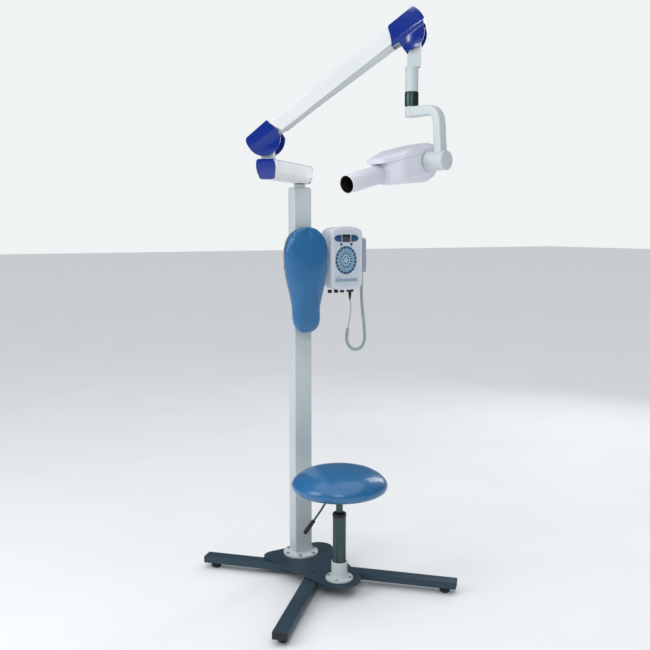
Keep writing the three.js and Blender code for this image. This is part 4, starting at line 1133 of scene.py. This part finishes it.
def build_head_bracket():
    refined("head_bracket", "white_paint", 1.8, segments=4)
    ring = [(20.4, 1763), (21.6, 1763.4), (21.9, 1765), (21.9, 1767), (21.2, 1768), (20.4, 1768),
            (20.4, 1763)]
    piece("stem_lip", lathe(ring, 72), "head_bracket", "white_paint", YOKE, smooth=50)


def build_yoke():
    low, high = (c.z * 1000 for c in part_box("swivel_ring"))
    wide, groove = 21.7, 21.0
    ring = [(8, low), (20.6, low), (wide, low + 1), (wide, low + 4), (groove, low + 4.6), (groove, low + 6),
            (wide, low + 6.6), (wide, high - 4), (groove, high - 3.4), (groove, high - 2.6),
            (wide, high - 2), (20.8, high), (8, high), (8, low)]
    piece("swivel_sleeve", lathe(ring, 96), "yoke", "dark_steel", YOKE, ("swivel_ring",), smooth=40)

    inner_x = YOKE_REACH - YOKE_LEG
    bottom = TILT_Z + 8
    inner = [Vector((0, YOKE_LOW)), Vector((inner_x * 0.4, YOKE_LOW)),
             Vector((inner_x - 30, YOKE_LOW))]
    inner += curve(inner[-1], (inner_x - 7, YOKE_LOW), (inner_x - 6, YOKE_LOW - 25), steps=10)
    inner += [inner[-1].lerp(Vector((inner_x + 1, bottom)), 0.5), Vector((inner_x + 1, bottom))]
    outer = [Vector((0, YOKE_TOP)), Vector((inner_x * 0.35, YOKE_TOP)),
             Vector((YOKE_REACH - YOKE_BEND - 4, YOKE_TOP))]
    outer += curve(outer[-1], (YOKE_REACH - 8, YOKE_TOP), (YOKE_REACH - 4, YOKE_TOP - YOKE_BEND), steps=10)
    outer += [outer[-1].lerp(Vector((YOKE_REACH + 3, bottom)), 0.5), Vector((YOKE_REACH + 3, bottom))]
    rings = []
    for a, b in zip(inner, outer):
        thick = (b - a).length
        section = rectangle(thick, YOKE_DEPTH, 5.5, 5)
        across = [(a.lerp(b, p.x / thick + 0.5), p.y) for p in section]
        rings.append([Vector((q.x, y, q.y)) for q, y in across])
    neck = loft(rings)
    hub = lathe([(0, YOKE_LOW + 0.2), (18.2, YOKE_LOW + 0.2), (19.5, YOKE_LOW + 1.6),
                 (19.5, YOKE_TOP + 0.6), (18.5, YOKE_TOP + 1.6), (0, YOKE_TOP + 1.6)], 72)
    radius, near, far = KNUCKLE
    barrel = lathe([(10, near), (radius - 1.2, near), (radius, near + 1.2), (radius, near + 18),
                    (radius - 0.5, near + 18.4), (radius - 0.5, near + 19.2), (radius, near + 19.6),
                    (radius, far - 12), (radius - 0.7, far - 11.4), (radius - 0.7, far - 10.4),
                    (radius + 0.3, far - 9.8), (radius + 0.3, far - 1.5), (radius - 1.2, far),
                    (radius - 4, far), (radius - 4.4, far - 0.4), (radius - 5, far - 0.4),
                    (radius - 5.4, far), (0, far)], 96)
    barrel = moved(along_x(barrel), z=TILT_Z)
    piece("yoke_arm", merged(neck, hub, barrel), "yoke", "white_paint", YOKE, ("yoke",), smooth=40)
    grubs = []
    for x, angle in ((near + 12, 205), (near + 46, 262)):
        a = math.radians(angle)
        grub = lathe([(0, -2), (1.6, -2), (1.6, -0.2), (3.4, 0), (3.4, -1.5), (0, -2.2)], 24)
        turn = Matrix.Rotation(math.pi / 2 - a, 4, "X")
        seat = Matrix.Translation((x, math.cos(a) * radius, TILT_Z + math.sin(a) * radius))
        grubs.append(move(grub, seat @ turn.inverted()))
    piece("knuckle_grub_screws", merged(*grubs), "yoke", "dark_steel", YOKE, look=LOOKS["black_plastic"])


# ---------------------------------------------------------------- tube head

HEAD_SIZE = {"half": 66, "rear": -95, "front": 150, "lip": 174, "bottom": -54, "skirt": -34, "seam": 27,
             "hood": 41, "top": 50}
CONE = {"radius": 28, "bore": 25.5, "drop": -7, "mouth": 307, "root": 127}


def head_ring(points, radius):
    """A closed outline from the tail to the nose along one side and back along the other."""
    near = [Vector((x, -y, z)) for x, y, z in points]
    far = [Vector((x, y, z)) for x, y, z in reversed(points)]
    return rounded([*near, *far], radius, 6)


def on_beam(name, profile, finish="white_plastic", stands_for=(), steps=96, look=None, smooth=32):
    """A piece turned about the cone's axis."""
    bm = moved(along_x(lathe(profile, steps)), z=CONE["drop"])
    piece(name, bm, "tube_head", finish, HEAD, stands_for, look, smooth)


def poked(bm):
    """Flat ends turned into fans about their middles."""
    bmesh.ops.poke(bm, faces=[f for f in bm.faces if len(f.verts) > 8])
    return bm


def build_head():
    s = HEAD_SIZE
    half, rear, front, lip, seam = s["half"], s["rear"], s["front"], s["lip"], s["seam"]
    lower = loft([
        head_ring([(rear + 10, 26, s["bottom"] + 7), (rear + 45, 44, s["bottom"] - 4),
                   (rear + 92, 48, s["bottom"] - 12), (93, 46, s["bottom"] + 3),
                   (front - 14, 16, s["bottom"] + 9)], 14),
        head_ring([(rear + 2, 34, s["skirt"]), (rear + 50, 65, s["skirt"] - 1),
                   (rear + 95, 65, s["skirt"] - 2), (115, 65, s["skirt"]), (front, 31, s["skirt"] + 4)], 16),
        head_ring([(rear, 35, seam - 1), (rear + 50, half, seam - 1), (rear + 95, half, seam - 1),
                   (115, half, seam - 1), (front, 32, seam - 1)], 16),
        head_ring([(rear + 1, 34.5, seam - 0.3), (rear + 50.6, half - 1, seam - 0.3),
                   (rear + 95, half - 1, seam - 0.3), (114.6, half - 1, seam - 0.3),
                   (front - 1, 31.5, seam - 0.3)], 16)])
    soften(poked(lower), 5.5, 16, 4, lambda e: max(v.co.z for v in e.verts) < s["skirt"] + 8
           and min(v.co.z for v in e.verts) < s["skirt"] + 8)
    mouth = along_x(lathe([(0, 60), (CONE["radius"] + 6.3, 60), (CONE["radius"] + 6.3, 220), (0, 220)], 64))
    lower = combine(lower, moved(mouth, z=CONE["drop"]))
    piece("head_casing", lower, "tube_head", "white_plastic", HEAD, ("head_lower_shell",), smooth=30)

    upper = loft([
        head_ring([(rear + 1, 34.4, seam), (rear + 50.4, half - 1, seam), (104.4, half - 1, seam),
                   (lip - 1.2, 31.4, seam)], 14),
        head_ring([(rear, 35, seam + 1), (rear + 50, half, seam + 1), (105, half, seam + 1),
                   (lip, 32, seam + 1)], 14),
        head_ring([(rear + 5, 32, s["hood"] - 1), (rear + 53, 62, s["hood"] - 3), (95, 63, s["hood"] - 2),
                   (lip - 2, 31, s["hood"])], 13),
        head_ring([(rear + 22, 20, s["top"] - 2), (rear + 64, 40, s["top"]), (62, 56, s["top"]),
                   (lip - 28, 27, s["hood"] + 4)], 12)])
    soften(poked(upper), 4.5, 14, 4, lambda e: min(v.co.z for v in e.verts) > s["hood"] - 6)
    piece("head_hood", upper, "tube_head", "white_plastic", HEAD, ("head_upper_shell",), smooth=30)

    root, out = CONE["root"], CONE["radius"] + 6
    on_beam("cone_ring", [(28.3, root), (out, root), (out, root + 21), (out - 0.8, root + 23.4),
                          (out - 2.8, root + 24.2), (29, root + 24), (28.3, root + 23.2), (28.3, root)],
            stands_for=("cone_collar",), smooth=40)
    mouth_x, r, bore = CONE["mouth"], CONE["radius"], CONE["bore"]
    on_beam("beam_tube", [(bore, root), (r, root), (r, root + 30), (r - 0.3, root + 30.4),
                          (r - 0.3, root + 31.2), (r, root + 31.6), (r, mouth_x - 1.4),
                          (r - 0.7, mouth_x - 0.3), (r - 1.3, mouth_x), (bore + 0.5, mouth_x),
                          (bore, mouth_x - 0.6), (bore, root)],
            stands_for=("beam_cone",), smooth=40)
    on_beam("beam_tube_lining", [(bore - 0.7, root), (bore - 0.05, root), (bore - 0.05, mouth_x - 1.2),
                                 (bore - 0.7, mouth_x - 1.2), (bore - 0.7, root)], "rubber", look=BORE)
    on_beam("beam_port", [(0, root + 2), (bore - 0.9, root + 2), (bore - 0.9, root + 4), (6, root + 4),
                          (0, root + 5)], "rubber", steps=64, look=BORE)
    refined("tilt_shaft", "bright_steel", 0.5)
    refined("tube_tank", "tank", 1.5)


# ---------------------------------------------------------------- assembly

add_camera()
add_cord(add_strain_relief())
add_studio()
build_base()
build_column()
build_backrest()
build_control_box()
build_fuses_and_handset()
build_stool()
build_extension()
build_spring_arm()
build_head_bracket()
build_yoke()
build_head()
